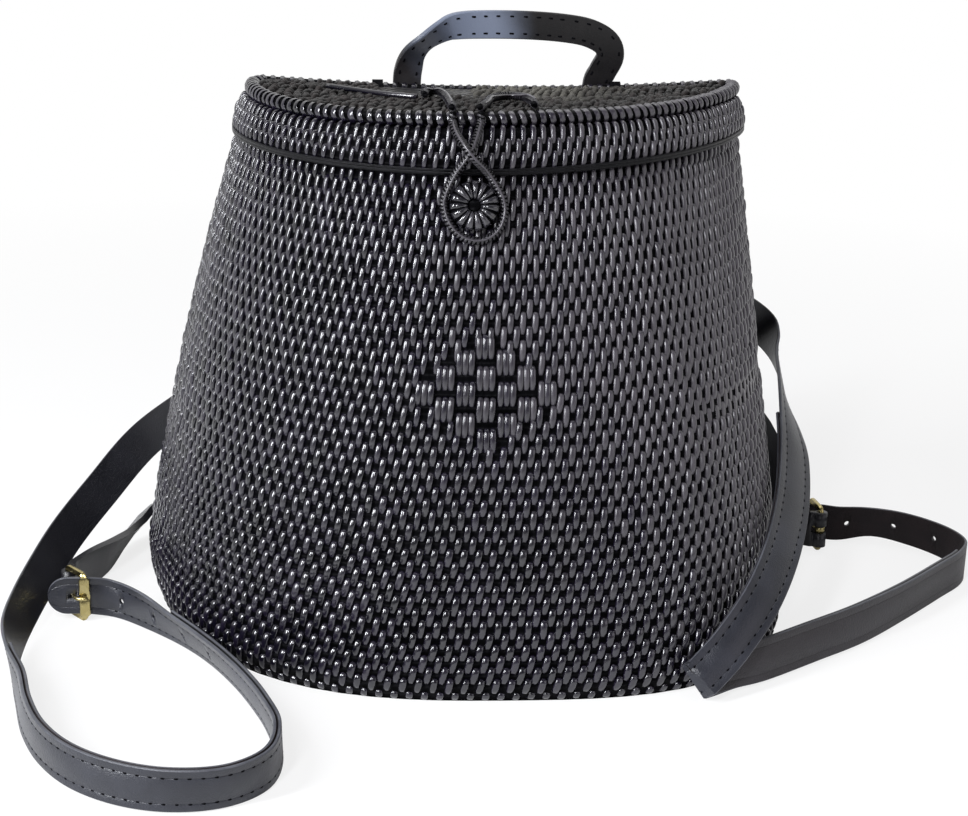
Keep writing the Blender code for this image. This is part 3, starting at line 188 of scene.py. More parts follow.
@dataclass(frozen=True)
class Shell:
    """The basket's D-shaped outline at each height, as the solids have it."""

    height: float = 0.2396
    seam: float = 0.2165
    base_width: float = 0.2985
    top_width: float = 0.2230
    base_depth: float = 0.1815
    top_depth: float = 0.1090
    bulge: float = 0.0057
    back_y: float = 0.0750
    lean_x: float = 0.0196
    drift: float = 0.0202
    base_power: float = 2.85
    top_power: float = 1.75
    corner: float = 0.010
    foot: float = 0.0140
    foot_shares: Tuple[Pair, ...] = ((0.0, 0.34), (0.2, 0.15), (0.5, 0.04), (1.0, 0.0))
    hinge_y: float = 0.0678
    proud: float = 0.0042
    coil: float = 0.0030
    back_sag: float = 0.0045
    front_rise: float = 0.0022
    facets: int = 60

    def sizes(self, z: float) -> Tuple[float, float, float, float, float]:
        """Half width, depth, power, middle x and front drift at a height."""
        share = z / self.height
        bulge = 4 * self.bulge * share * (1 - share)
        half = (self.base_width + (self.top_width - self.base_width) * share) / 2 + bulge
        depth = self.base_depth + (self.top_depth - self.base_depth) * share + bulge
        power = self.base_power + (self.top_power - self.base_power) * share
        return half, depth, power, self.lean_x * share, self.drift * (1 - 2 * share)

    def arc(self, z: float, inset: float, back_y: float, steps: int = 180) -> List[Vector]:
        """Curved side of the outline, from its left back corner to its right one.

        Args:
            z: Height.
            inset: How far inside the outer face.
            back_y: Where its flat back is.
            steps: Steps along it.

        Returns:
            The points.
        """
        half, depth, power, middle, drift = self.sizes(z)
        half -= inset
        reach = depth - (self.back_y - back_y) - inset
        points = []
        for i in range(steps + 1):
            angle = math.pi * i / steps
            run = abs(math.sin(angle)) ** (2 / power)
            side = math.copysign(abs(math.cos(angle)) ** (2 / power), math.cos(angle))
            points.append(Vector((middle - half * side + drift * run, back_y - reach * run, z)))
        return points

    def ring(self, z: float, inset: float, back_y: float, count: int) -> List[Vector]:
        """Closed outline with rounded back corners, from the middle of the back.

        Args:
            z: Height.
            inset: How far inside the outer face.
            back_y: Where its flat back is.
            count: Points around.

        Returns:
            The outline's points.
        """
        arc = self.arc(z, inset, back_y)
        left, right = arc[0], arc[-1]
        back = [right.lerp(left, i / self.facets) for i in range(1, self.facets)]
        even = resample(arc + back, 4 * self.facets, True)
        spacing = path_length(even + even[:1]) / len(even)
        reach = max(1, round(self.corner / spacing / 2))
        total = len(even)
        smooth = []
        for i in range(total):
            near = [even[(i + k) % total] for k in range(-reach, reach + 1)]
            smooth.append(sum(near, Vector((0.0, 0.0, 0.0))) / len(near))
        middle_x = (left.x + right.x) / 2
        start = min(range(total), key=lambda i: abs(smooth[i].x - middle_x) if smooth[i].y > 0 else 1.0)
        facets = resample(smooth[start:] + smooth[:start], self.facets, True)
        centre = Vector((middle_x, facets[0].y, z))
        order = [centre] + (facets[1:] + facets[:1] if facets[0].x > middle_x else facets)
        return resample(order, count, True)

    def foot_inset(self, z: float) -> float:
        """How far the rounded foot lies inside the outline at a height."""
        share = z / self.foot
        if share >= 1:
            return 0.0
        for (low, first), (high, second) in zip(self.foot_shares, self.foot_shares[1:]):
            if share <= high:
                return self.foot * (first + (second - first) * (share - low) / (high - low))
        return 0.0

    def edge_z(self, x: float, y: float) -> float:
        """Height of the lid's saddle: its back edge sags and its front edge rises."""
        half, depth, _, middle, _ = self.sizes(self.height)
        across = min(1.0, abs(x - middle) / (half + self.proud))
        front_y = self.back_y - depth - self.proud
        back = min(1.0, max(0.0, (y - front_y) / (self.hinge_y - front_y)))
        hump = 1 - across * across
        return self.height - self.back_sag * hump * back + self.front_rise * hump * (1 - back)

    def front_frame(self, z: float) -> Tuple[Vector, Vector, Vector]:
        """Point, outward normal and upward slope of the front's middle line at a height."""
        here, above = self.front_point(z), self.front_point(z + self.foot)
        up = (above - here).normalized()
        normal = SIDE.cross(up).normalized()
        return here, (-normal if normal.y > 0 else normal), up

    def front_point(self, z: float) -> Vector:
        """The front's middle at a height."""
        _, depth, _, middle, drift = self.sizes(z)
        return Vector((middle + drift, self.back_y - depth, z))

    def lid_outline(self, count: int) -> List[Vector]:
        """Middle line of the lid's coil."""
        flat = self.ring(self.height, self.coil - self.proud, self.hinge_y, count)
        return [Vector((p.x, p.y, self.edge_z(p.x, p.y) - self.coil)) for p in flat]


# Meshes
def bm_object(name: str, bm: bmesh.types.BMesh, angle: float = 40.0) -> Piece:
    """Turn a bmesh into a smooth object with its sharp edges kept.

    Args:
        name: The object's name.
        bm: The mesh, which is freed.
        angle: Edges sharper than this many degrees stay sharp.

    Returns:
        The linked object.
    """
    mesh = bpy.data.meshes.new(name)
    bm.to_mesh(mesh)
    bm.free()
    mesh.shade_smooth()
    mesh.set_sharp_from_angle(angle=math.radians(angle))
    made = bpy.data.objects.new(name, mesh)
    bpy.context.scene.collection.objects.link(made)
    return made


def loft(name: str, sections: Sequence[Sequence[Vector]], closed: bool = False,
         angle: float = 40.0) -> Piece:
    """Skin a row of like sections.

    Args:
        name: The object's name.
        sections: Closed sections with the same number of points.
        closed: Whether the last section joins the first.
        angle: Edges sharper than this many degrees stay sharp.

    Returns:
        The closed body.
    """
    bm = bmesh.new()
    rows = [[bm.verts.new(p) for p in section] for section in sections]
    size, count = len(rows[0]), len(rows)
    for i in range(count if closed else count - 1):
        here, there = rows[i], rows[(i + 1) % count]
        for j in range(size):
            k = (j + 1) % size
            bm.faces.new((here[j], here[k], there[k], there[j]))
    if not closed:
        bm.faces.new(rows[0])
        bm.faces.new(list(reversed(rows[-1])))
    bmesh.ops.recalc_face_normals(bm, faces=bm.faces)
    return bm_object(name, bm, angle)


def tube(name: str, path: Sequence[Vector], radius: float, sides: int = 10) -> Piece:
    """Round cord along an open path, with its ends drawn in.

    Args:
        name: The object's name.
        path: Middle line.
        radius: Its radius.
        sides: Points around.

    Returns:
        The cord.
    """
    sections = []
    last = len(path) - 1
    frame: Optional[Vector] = None
    for i, point in enumerate(path):
        run = (path[min(last, i + 1)] - path[max(0, i - 1)]).normalized()
        if frame is None:
            frame = run.cross(UP if abs(run.z) < 0.9 else SIDE).normalized()
        frame = (frame - run * frame.dot(run)).normalized()
        other = run.cross(frame)
        size = radius * (0.55 if i in (0, last) else 1.0)
        turns = [math.tau * k / sides for k in range(sides)]
        sections.append([point + (frame * math.cos(a) + other * math.sin(a)) * size for a in turns])
    return loft(name, sections, angle=60.0)


def join(name: str, parts: Sequence[Piece]) -> Piece:
    """Join objects into one new mesh object, material slots kept.

    Args:
        name: Name of the joined object.
        parts: Objects at the origin, which are removed.

    Returns:
        The joined object.
    """
    mesh = bpy.data.meshes.new(name)
    bm = bmesh.new()
    slots: List[Material] = []
    for part in parts:
        own = list(part.data.materials)
        for material in own:
            if material not in slots:
                slots.append(material)
        start = len(bm.faces)
        bm.from_mesh(part.data)
        bm.faces.ensure_lookup_table()
        for face in bm.faces[start:]:
            face.material_index = slots.index(own[face.material_index]) if own else 0
    bm.to_mesh(mesh)
    bm.free()
    for material in slots:
        mesh.materials.append(material)
    for part in parts:
        bpy.data.objects.remove(part)
    made = bpy.data.objects.new(name, mesh)
    bpy.context.scene.collection.objects.link(made)
    return made


def plain_mesh(source: Piece, name: str) -> Piece:
    """Make an object's evaluated shape a plain mesh object and remove the source.

    Args:
        source: Object with modifiers.
        name: Name of the new object.

    Returns:
        The new object at the origin.
    """
    graph = bpy.context.evaluated_depsgraph_get()
    mesh = bpy.data.meshes.new_from_object(source.evaluated_get(graph))
    bpy.data.objects.remove(source)
    mesh.name = name
    made = bpy.data.objects.new(name, mesh)
    bpy.context.scene.collection.objects.link(made)
    return made


# Node trees
class Graph:
    """Adds and links the nodes of one tree."""

    def __init__(self, tree: bpy.types.NodeTree) -> None:
        """Keep the tree."""
        self.tree = tree

    @staticmethod
    def pick(sockets: Sequence[Socket], name: str) -> Socket:
        """The socket of that name that is in use."""
        return next(s for s in sockets if s.name == name and s.enabled)

    def add(self, kind: str, values: Optional[Dict[str, object]] = None,
            **settings: object) -> bpy.types.Node:
        """Add a node.

        Args:
            kind: The node's type.
            values: Input name to a number, colour or another node's socket.
            settings: The node's own settings.

        Returns:
            The node.
        """
        made = self.tree.nodes.new(kind)
        for key, value in settings.items():
            setattr(made, key, value)
        for key, value in (values or {}).items():
            socket = self.pick(made.inputs, key)
            if isinstance(value, Socket):
                self.tree.links.new(value, socket)
            else:
                socket.default_value = value
        return made

    def out(self, kind: str, name: str, values: Optional[Dict[str, object]] = None,
            **settings: object) -> Socket:
        """Add a node and give one of its outputs."""
        return self.pick(self.add(kind, values, **settings).outputs, name)

    def maths(self, operation: str, first: object, second: object = 0.5) -> Socket:
        """Add a Math node of two inputs.

        Args:
            operation: What the node does.
            first: First number or socket.
            second: Second number or socket.

        Returns:
            The node's output.
        """
        made = self.tree.nodes.new("ShaderNodeMath")
        made.operation = operation
        for socket, value in zip(made.inputs, (first, second)):
            if isinstance(value, Socket):
                self.tree.links.new(value, socket)
            else:
                socket.default_value = value
        return made.outputs[0]


def new_tree(name: str, kind: str, inputs: Sequence[Tuple[str, str, object]],
             outputs: Sequence[Tuple[str, str]]) -> Tuple[Graph, bpy.types.Node]:
    """Start a node group.

    Args:
        name: The group's name.
        kind: Its tree type.
        inputs: Name, socket type and default of each input.
        outputs: Name and socket type of each output.

    Returns:
        The graph and its input node.
    """
    tree = bpy.data.node_groups.new(name, kind)
    for label, socket_type, default in inputs:
        socket = tree.interface.new_socket(name=label, in_out="INPUT", socket_type=socket_type)
        if default is not None:
            socket.default_value = default
    for label, socket_type in outputs:
        tree.interface.new_socket(name=label, in_out="OUTPUT", socket_type=socket_type)
    graph = Graph(tree)
    return graph, graph.add("NodeGroupInput")


@dataclass
class Guide:
    """Places for the copies of one small strand, with the way each one lies."""

    points: List[Vector] = field(default_factory=list)
    outward: List[Vector] = field(default_factory=list)
    upward: List[Vector] = field(default_factory=list)
    stretch: List[Vector] = field(default_factory=list)

    def add(self, point: Vector, outward: Vector, upward: Vector,
            stretch: Vector = Vector((1, 1, 1))) -> None:
        """Add one place."""
        self.points.append(point)
        self.outward.append(outward)
        self.upward.append(upward)
        self.stretch.append(stretch)

    def as_object(self) -> Piece:
        """A mesh of loose points with the directions as attributes.

        Returns:
            The linked object.
        """
        mesh = bpy.data.meshes.new("guide")
        mesh.from_pydata([tuple(p) for p in self.points], [], [])
        for name in ("outward", "upward", "stretch"):
            layer = mesh.attributes.new(name=name, type="FLOAT_VECTOR", domain="POINT")
            flat = [c for vector in getattr(self, name) for c in vector]
            layer.data.foreach_set("vector", flat)
        made = bpy.data.objects.new("guide", mesh)
        bpy.context.scene.collection.objects.link(made)
        return made


class Repeater:
    """Geometry Nodes tree that sets one small strand on every place of a guide."""

    def __init__(self) -> None:
        """Build the tree once."""
        number, whole = "NodeSocketFloat", "NodeSocketInt"
        graph, given = new_tree(
            "strand_repeater", "GeometryNodeTree",
            [("Guide", "NodeSocketGeometry", None), ("Strand", "NodeSocketObject", None),
             ("Width", number, 0.003), ("Rise", number, 0.001), ("Length", number, 0.009),
             ("Wobble", number, 0.04), ("Unevenness", number, 0.06), ("Seed", whole, 1),
             ("Finish", "NodeSocketMaterial", None)],
            [("Strands", "NodeSocketGeometry")])
        inputs = given.outputs
        named = {}
        for name in ("outward", "upward", "stretch"):
            named[name] = graph.out("GeometryNodeInputNamedAttribute", "Attribute", {"Name": name},
                                    data_type="FLOAT_VECTOR")
        points = graph.out("GeometryNodeMeshToPoints", "Points", {"Mesh": inputs["Guide"]})
        strand = graph.out("GeometryNodeObjectInfo", "Geometry", {"Object": inputs["Strand"]})
        lie = graph.out("FunctionNodeAxesToRotation", "Rotation",
                        {"Primary Axis": named["upward"], "Secondary Axis": named["outward"]},
                        primary_axis="Z", secondary_axis="Y")
        swing = graph.maths("MULTIPLY", self.chance(graph, inputs["Seed"], -1.0, 1.0), inputs["Wobble"])
        turn = graph.out("FunctionNodeAxisAngleToRotation", "Rotation",
                         {"Axis": (0.0, 1.0, 0.0), "Angle": swing})
        lie = graph.out("FunctionNodeRotateRotation", "Rotation", {"Rotation": lie, "Rotate By": turn},
                        rotation_space="LOCAL")
        seed_two = graph.maths("ADD", inputs["Seed"], 7.0)
        uneven = graph.maths("MULTIPLY", self.chance(graph, seed_two, -1.0, 1.0), inputs["Unevenness"])
        length = graph.maths("MULTIPLY", graph.maths("ADD", uneven, 1.0), inputs["Length"])
        sizes = graph.out("ShaderNodeCombineXYZ", "Vector",
                          {"X": inputs["Width"], "Y": inputs["Rise"], "Z": length})
        scale = graph.add("ShaderNodeVectorMath", operation="MULTIPLY")
        graph.tree.links.new(sizes, scale.inputs[0])
        graph.tree.links.new(named["stretch"], scale.inputs[1])
        placed = graph.out("GeometryNodeInstanceOnPoints", "Instances",
                           {"Points": points, "Instance": strand, "Rotation": lie, "Scale": scale.outputs[0]})
        shade = self.chance(graph, graph.maths("ADD", inputs["Seed"], 13.0), 0.0, 1.0)
        marked = graph.out("GeometryNodeStoreNamedAttribute", "Geometry",
                           {"Geometry": placed, "Name": "shade", "Value": shade},
                           data_type="FLOAT", domain="INSTANCE")
        solid = graph.out("GeometryNodeRealizeInstances", "Geometry", {"Geometry": marked})
        final = graph.out("GeometryNodeSetMaterial", "Geometry",
                          {"Geometry": solid, "Material": inputs["Finish"]})
        graph.add("NodeGroupOutput", {"Strands": final})
        self.tree = graph.tree

    @staticmethod
    def chance(graph: Graph, seed: object, low: float, high: float) -> Socket:
        """Random number for each place."""
        return graph.out("FunctionNodeRandomValue", "Value", {"Min": low, "Max": high, "Seed": seed},
                         data_type="FLOAT")

    def grow(self, name: str, guide: Guide, strand: Piece, size: Triple,
             finish: Material, seed: int, wobble: float = 0.04,
             unevenness: float = 0.06) -> Piece:
        """Set a strand on every place of a guide.

        Args:
            name: Name of the new object.
            guide: The places.
            strand: The small mesh of unit size.
            size: Width, rise and length of each strand.
            finish: Its material.
            seed: Seed of the small differences.
            wobble: Most a strand turns on its face, in radians.
            unevenness: Most its length differs, as a share.

        Returns:
            One plain mesh object.
        """
        carrier = guide.as_object()
        modifier = carrier.modifiers.new("strands", "NODES")
        modifier.node_group = self.tree
        values = {"Strand": strand, "Width": size[0], "Rise": size[1], "Length": size[2], "Wobble": wobble,
                  "Unevenness": unevenness, "Seed": seed, "Finish": finish}
        for item in self.tree.interface.items_tree:
            if item.in_out == "INPUT" and item.name in values:
                modifier[item.identifier] = values[item.name]
        made = plain_mesh(carrier, name)
        LOG.info("%s: %d strands, %d faces", name, len(guide.points), len(made.data.polygons))
        return made


class Strands:
    """Small closed meshes of unit size that the repeater copies."""

    FULL = ((-0.50, 0.60, -0.30), (-0.41, 0.84, 0.22), (-0.27, 0.96, 0.62), (-0.10, 1.0, 0.89),
            (0.10, 1.0, 1.0), (0.28, 0.98, 0.93), (0.41, 0.88, 0.60), (0.50, 0.60, -0.30))

    @staticmethod
    def strip(name: str, profile: Sequence[Triple] = FULL,
              taper: float = 0.0) -> Piece:
        """Half-round strand whose ends dip under its neighbours.

        Args:
            name: The mesh object's name.
            profile: Place along it, width and rise, as shares.
            taper: How much narrower its upper end is, as a share.

        Returns:
            The strand, 1 wide, 1 long and 1 high.
        """
        sections = []
        for along, wide, rise in profile:
            half = wide / 2 * (1 - taper * (along + 0.5))
            shape = ((-1.0, -0.9), (-0.93, -0.28), (-0.62, -0.05), (0.0, 0.0), (0.62, -0.05), (0.93, -0.28),
                     (1.0, -0.9))
            sections.append([Vector((half * x, rise + y, along)) for x, y in shape])
        return loft(name, sections, angle=75.0)

    @staticmethod
    def ring(name: str, cord_share: float, steps: int = 12, sides: int = 5) -> Piece:
        """Ring about the Z axis with a radius of 1, for whipping round a cord or coil.

        Args:
            name: The object's name.
            cord_share: Thickness as a share of the radius.
            steps: Steps along it.
            sides: Points around the thickness.

        Returns:
            The ring.
        """
        sections = []
        for i in range(steps):
            angle = math.tau * i / steps
            run = Vector((math.cos(angle), math.sin(angle), 0.0))
            turns = [math.tau * k / sides for k in range(sides)]
            sections.append([run * (1 + cord_share * 0.6 * math.cos(a)) + UP * cord_share * math.sin(a)
                             for a in turns])
        return loft(name, sections, closed=True, angle=75.0)


# Finishes
class Effects:
    """Shader node groups that several finishes share."""

    def __init__(self) -> None:
        """Build the groups once."""
        self.tone = self.build_tone()
        self.grain = self.build_grain()

    @staticmethod
    def build_tone() -> bpy.types.NodeTree:
        """Colour and roughness that differ from strand to strand and along it.

        Returns:
            The group.
        """
        number, colour = "NodeSocketFloat", "NodeSocketColor"
        graph, given = new_tree(
            "strand_tone", "ShaderNodeTree",
            [("Shade", number, 0.5), ("Dark", colour, None), ("Light", colour, None), ("Scale", number, 60.0),
             ("Rough Low", number, 0.3), ("Rough High", number, 0.5)],
            [("Colour", colour), ("Roughness", number)])
        inputs = given.outputs
        spot = graph.out("ShaderNodeTexCoord", "Object")
        cloud = graph.out("ShaderNodeTexNoise", "Fac",
                          {"Vector": spot, "Scale": inputs["Scale"], "Detail": 4.0, "Roughness": 0.6})
        mixed = graph.maths("ADD", graph.maths("MULTIPLY", cloud, 0.75),
                            graph.maths("MULTIPLY", inputs["Shade"], 0.45))
        spread = graph.out("ShaderNodeMapRange", "Result",
                           {"Value": mixed, "From Min": 0.32, "From Max": 0.88})
        colour_mix = graph.out("ShaderNodeMix", "Result",
                               {"Factor": spread, "A": inputs["Dark"], "B": inputs["Light"]},
                               data_type="RGBA")
        rough = graph.out("ShaderNodeMapRange", "Result",
                          {"Value": spread, "To Min": inputs["Rough Low"], "To Max": inputs["Rough High"]})
        graph.add("NodeGroupOutput", {"Colour": colour_mix, "Roughness": rough})
        return graph.tree

    @staticmethod
    def build_grain() -> bpy.types.NodeTree:
        """Height of fine grain with larger waves under it.

        Returns:
            The group.
        """
        number = "NodeSocketFloat"
        graph, given = new_tree(
            "fine_grain", "ShaderNodeTree",
            [("Fine Scale", number, 900.0), ("Wide Scale", number, 120.0), ("Wide Share", number, 0.4),
             ("Stretch", "NodeSocketVector", (1.0, 1.0, 1.0))],
            [("Height", number)])
        inputs = given.outputs
        spot = graph.out("ShaderNodeTexCoord", "Object")
        drawn = graph.out("ShaderNodeMapping", "Vector", {"Vector": spot, "Scale": inputs["Stretch"]})
        fine = graph.out("ShaderNodeTexVoronoi", "Distance", {"Vector": drawn, "Scale": inputs["Fine Scale"]})
        wide = graph.out("ShaderNodeTexNoise", "Fac",
                         {"Vector": drawn, "Scale": inputs["Wide Scale"], "Detail": 5.0})
        height = graph.maths("ADD", fine, graph.maths("MULTIPLY", wide, inputs["Wide Share"]))
        graph.add("NodeGroupOutput", {"Height": height})
        return graph.tree


@dataclass(frozen=True)
class Patch:
    """A place with a tone and roughness of its own, such as a painted sheen: its middle, where it starts and ends
    to fade, its tone and its roughness.
    """

    centre: Triple
    reach: Pair
    colour: Colour
    rough: float


@dataclass(frozen=True)
class Finish:
    """One finish: its two tones, its gloss and its grain."""

    name: str
    dark: Colour
    light: Colour
    rough: Pair
    tone_scale: float = 60.0
    fine_scale: float = 900.0
    wide_scale: float = 120.0
    stretch: Triple = (1.0, 1.0, 1.0)
    bump: float = 0.0002
    metallic: float = 0.0
    specular: float = 0.5
    coat: float = 0.0
    ribs: float = 0.0
    knots: float = 0.0
    # A place with its own tone, such as a painted sheen.
    patch: Optional[Patch] = None

    def build(self, effects: Effects) -> Material:
        """Make the material.

        Args:
            effects: The shared node groups.

        Returns:
            The material.
        """
        material = bpy.data.materials.new(self.name)
        material.use_nodes = True
        graph = Graph(material.node_tree)
        shader = material.node_tree.nodes["Principled BSDF"]
        shade = graph.out("ShaderNodeAttribute", "Fac", attribute_name="shade")
        tone = graph.add("ShaderNodeGroup", node_tree=effects.tone)
        for name, value in (("Dark", self.dark), ("Light", self.light), ("Scale", self.tone_scale),
                            ("Rough Low", self.rough[0]), ("Rough High", self.rough[1])):
            tone.inputs[name].default_value = value
        links = material.node_tree.links
        links.new(shade, tone.inputs["Shade"])
        colour, rough = tone.outputs["Colour"], tone.outputs["Roughness"]
        if self.patch is not None:
            share = self.patch_share(graph, self.patch, shade)
            colour = graph.out("ShaderNodeMix", "Result",
                               {"Factor": share, "A": colour, "B": self.patch.colour}, data_type="RGBA")
            rough = graph.out("ShaderNodeMix", "Result", {"Factor": share, "A": rough, "B": self.patch.rough})
        links.new(colour, shader.inputs["Base Color"])
        links.new(rough, shader.inputs["Roughness"])
        grain = graph.add("ShaderNodeGroup", node_tree=effects.grain)
        for name, value in (("Fine Scale", self.fine_scale), ("Wide Scale", self.wide_scale),
                            ("Stretch", self.stretch)):
            grain.inputs[name].default_value = value
        height = grain.outputs["Height"]
        if self.ribs > 0:
            height = graph.maths("ADD", height, self.rib_height(graph))
        if self.knots > 0:
            height = graph.maths("ADD", height, self.knot_height(graph))
        bump = graph.add("ShaderNodeBump", {"Distance": self.bump, "Strength": 1.0, "Height": height})
        links.new(bump.outputs["Normal"], shader.inputs["Normal"])
        shader.inputs["Metallic"].default_value = self.metallic
        shader.inputs["Specular IOR Level"].default_value = self.specular
        shader.inputs["Coat Weight"].default_value = self.coat
        shader.inputs["Coat Roughness"].default_value = self.rough[0]
        return material

    @staticmethod
    def patch_share(graph: Graph, patch: Patch, shade: Socket) -> Socket:
        """How far the patch's tone takes over, with an uneven border.

        Args:
            graph: The material's graph.
            patch: The place with its own tone, such as a painted sheen.
            shade: Each strand's own shade.

        Returns:
            The share, 0 to 1.
        """
        spot = graph.out("ShaderNodeTexCoord", "Object")
        gap = graph.add("ShaderNodeVectorMath", operation="DISTANCE")
        graph.tree.links.new(spot, gap.inputs[0])
        gap.inputs[1].default_value = patch.centre
        cloud = graph.out("ShaderNodeTexNoise", "Fac",
                          {"Vector": spot, "Scale": 1.2 / patch.reach[1], "Detail": 3.0})
        mixed = graph.maths("ADD", cloud, graph.maths("MULTIPLY", shade, 0.6))
        uneven = graph.maths("MULTIPLY", graph.maths("ADD", mixed, -0.8), patch.reach[1] * 0.6)
        return graph.out("ShaderNodeMapRange", "Result",
                         {"Value": graph.maths("ADD", gap.outputs["Value"], uneven),
                          "From Min": patch.reach[0], "From Max": patch.reach[1],
                          "To Min": 1.0, "To Max": 0.0},
                         interpolation_type="SMOOTHSTEP")

    def rib_height(self, graph: Graph) -> Socket:
        """Height of the level strands of a woven wall, one after another up it."""
        spot = graph.out("ShaderNodeTexCoord", "Object")
        z = graph.out("ShaderNodeSeparateXYZ", "Z", {"Vector": spot})
        wave = graph.maths("SINE", graph.maths("MULTIPLY", z, math.tau / self.ribs))
        return graph.maths("MULTIPLY", wave, 2.5)

    def knot_height(self, graph: Graph) -> Socket:
        """Height of level weaving: bumps that change over from row to row."""
        spot = graph.out("ShaderNodeTexCoord", "Object")
        flat = graph.add("ShaderNodeSeparateXYZ", {"Vector": spot})
        waves = [graph.maths("SINE", graph.maths("MULTIPLY", flat.outputs[axis], math.tau / self.knots))
                 for axis in ("X", "Y")]
        return graph.maths("MULTIPLY", graph.maths("MULTIPLY", waves[0], waves[1]), 3.0)


class Palette:
    """All finishes of the basket."""

    def __init__(self) -> None:
        """Build every material."""
        effects = Effects()
        cane = dict(fine_scale=500.0, wide_scale=240.0, stretch=(1.0, 1.0, 0.25))
        hide = dict(fine_scale=1500.0, wide_scale=160.0)
        self.underside = Finish("lid_underside", (0.003, 0.003, 0.004, 1), (0.016, 0.014, 0.016, 1),
                                (0.40, 0.62), bump=0.0004, knots=0.0086, specular=0.30, **cane).build(effects)
        # Paler, rougher tone towards the right of the front: painted dull sheen of the weakly lit side.
        painted_dull_sheen = Patch((0.19, -0.05, 0.17), (0.09, 0.215), (0.036, 0.031, 0.040, 1), 0.48)
        self.strand = Finish("black_cane", (0.001, 0.001, 0.003, 1), (0.007, 0.005, 0.013, 1), (0.18, 0.28),
                             bump=0.00005, specular=0.70, coat=0.40, patch=painted_dull_sheen, **cane).build(effects)
        self.strand_dull = Finish("dull_black_cane", (0.003, 0.003, 0.004, 1), (0.018, 0.016, 0.019, 1),
                                  (0.36, 0.58), bump=0.00014, specular=0.35, **cane).build(effects)
        self.rim = Finish("rim_cane", (0.002, 0.002, 0.003, 1), (0.012, 0.011, 0.014, 1), (0.42, 0.60),
                          bump=0.00020, ribs=0.0013, specular=0.28, **cane).build(effects)
        # Near-black, almost unreflective cane under the strands: the cane's own black, made darker and duller as
        # painted shade in the gaps.
        self.wall = Finish("inner_cane", (0.001, 0.001, 0.0015, 1), (0.004, 0.0035, 0.0045, 1), (0.60, 0.80),
                           bump=0.0005, ribs=0.00528, specular=0.05, **cane).build(effects)
        # Lighter, rougher tone towards the back of the lid top.
        lighter_back = Patch((0.03, 0.062, 0.24), (0.010, 0.060), (0.090, 0.086, 0.073, 1), 0.55)
        self.lid_top = Finish("dusty_cane", (0.001, 0.001, 0.001, 1), (0.022, 0.018, 0.017, 1), (0.36, 0.60),
                              tone_scale=260.0, bump=0.00012, specular=0.22, patch=lighter_back,
                              **cane).build(effects)
        self.cord = Finish("whipped_cord", (0.005, 0.0045, 0.006, 1), (0.024, 0.022, 0.027, 1), (0.26, 0.42),
                           fine_scale=1400.0, wide_scale=500.0, bump=0.00008).build(effects)
        self.button = Finish("button_cane", (0.004, 0.004, 0.006, 1), (0.030, 0.028, 0.034, 1), (0.12, 0.26),
                             fine_scale=600.0, bump=0.00005, specular=0.6, coat=0.5).build(effects)
        self.leather = Finish("slate_leather", (0.010, 0.011, 0.016, 1), (0.042, 0.045, 0.060, 1),
                              (0.36, 0.54), tone_scale=26.0, bump=0.00010, **hide).build(effects)
        # Paler cut edges: wear, with a painted highlight of a lit strap edge in their tone.
        self.edge_wear_and_highlight = Finish("worn_edge", (0.040, 0.042, 0.052, 1), (0.150, 0.155, 0.175, 1),
                                   (0.45, 0.60), bump=0.00008, **hide).build(effects)
        # Blue-grey patch on top of the handle: painted sheen.
        painted_sheen = Patch((0.006, 0.075, 0.262), (0.004, 0.030), (0.130, 0.150, 0.200, 1), 0.34)
        self.leather_handle = Finish("handle_leather", (0.003, 0.0025, 0.003, 1), (0.020, 0.017, 0.018, 1),
                                     (0.34, 0.52), tone_scale=30.0, bump=0.00004, patch=painted_sheen,
                                     **hide).build(effects)
        # Near-black leather for the short straps and handle feet; on the shoulder straps' inner face it is
        # painted shade.
        self.leather_dark_and_shade = Finish("dark_leather", (0.003, 0.003, 0.005, 1), (0.014, 0.014, 0.020, 1),
                                   (0.34, 0.52), tone_scale=38.0, bump=0.00007, **hide).build(effects)
        # Darker, browner tone of the right strap's lower layer: painted shadow of the basket.
        self.leather_painted_shadow = Finish("brown_leather", (0.016, 0.014, 0.016, 1), (0.042, 0.039, 0.045, 1),
                                    (0.44, 0.60), tone_scale=45.0, fine_scale=1300.0, wide_scale=150.0,
                                    bump=0.00014).build(effects)
        self.flesh = Finish("flesh_side", (0.008, 0.005, 0.006, 1), (0.030, 0.020, 0.021, 1), (0.62, 0.85),
                            tone_scale=70.0, fine_scale=1800.0, wide_scale=300.0, bump=0.00025,
                            specular=0.25).build(effects)
        self.thread = Finish("black_thread", (0.0005, 0.0005, 0.001, 1), (0.002, 0.002, 0.003, 1), (0.7, 0.9),
                             fine_scale=2500.0, bump=0.00004, specular=0.05).build(effects)
        self.brass = Finish("antique_brass", (0.36, 0.30, 0.13, 1), (0.66, 0.58, 0.32, 1), (0.26, 0.46),
                            tone_scale=160.0, fine_scale=900.0, wide_scale=300.0, stretch=(1.0, 1.0, 0.3),
                            bump=0.00001, metallic=1.0).build(effects)
        self.rivet = Finish("dark_rivet", (0.05, 0.045, 0.04, 1), (0.12, 0.11, 0.10, 1), (0.30, 0.45),
                            tone_scale=200.0, bump=0.00004, metallic=1.0).build(effects)


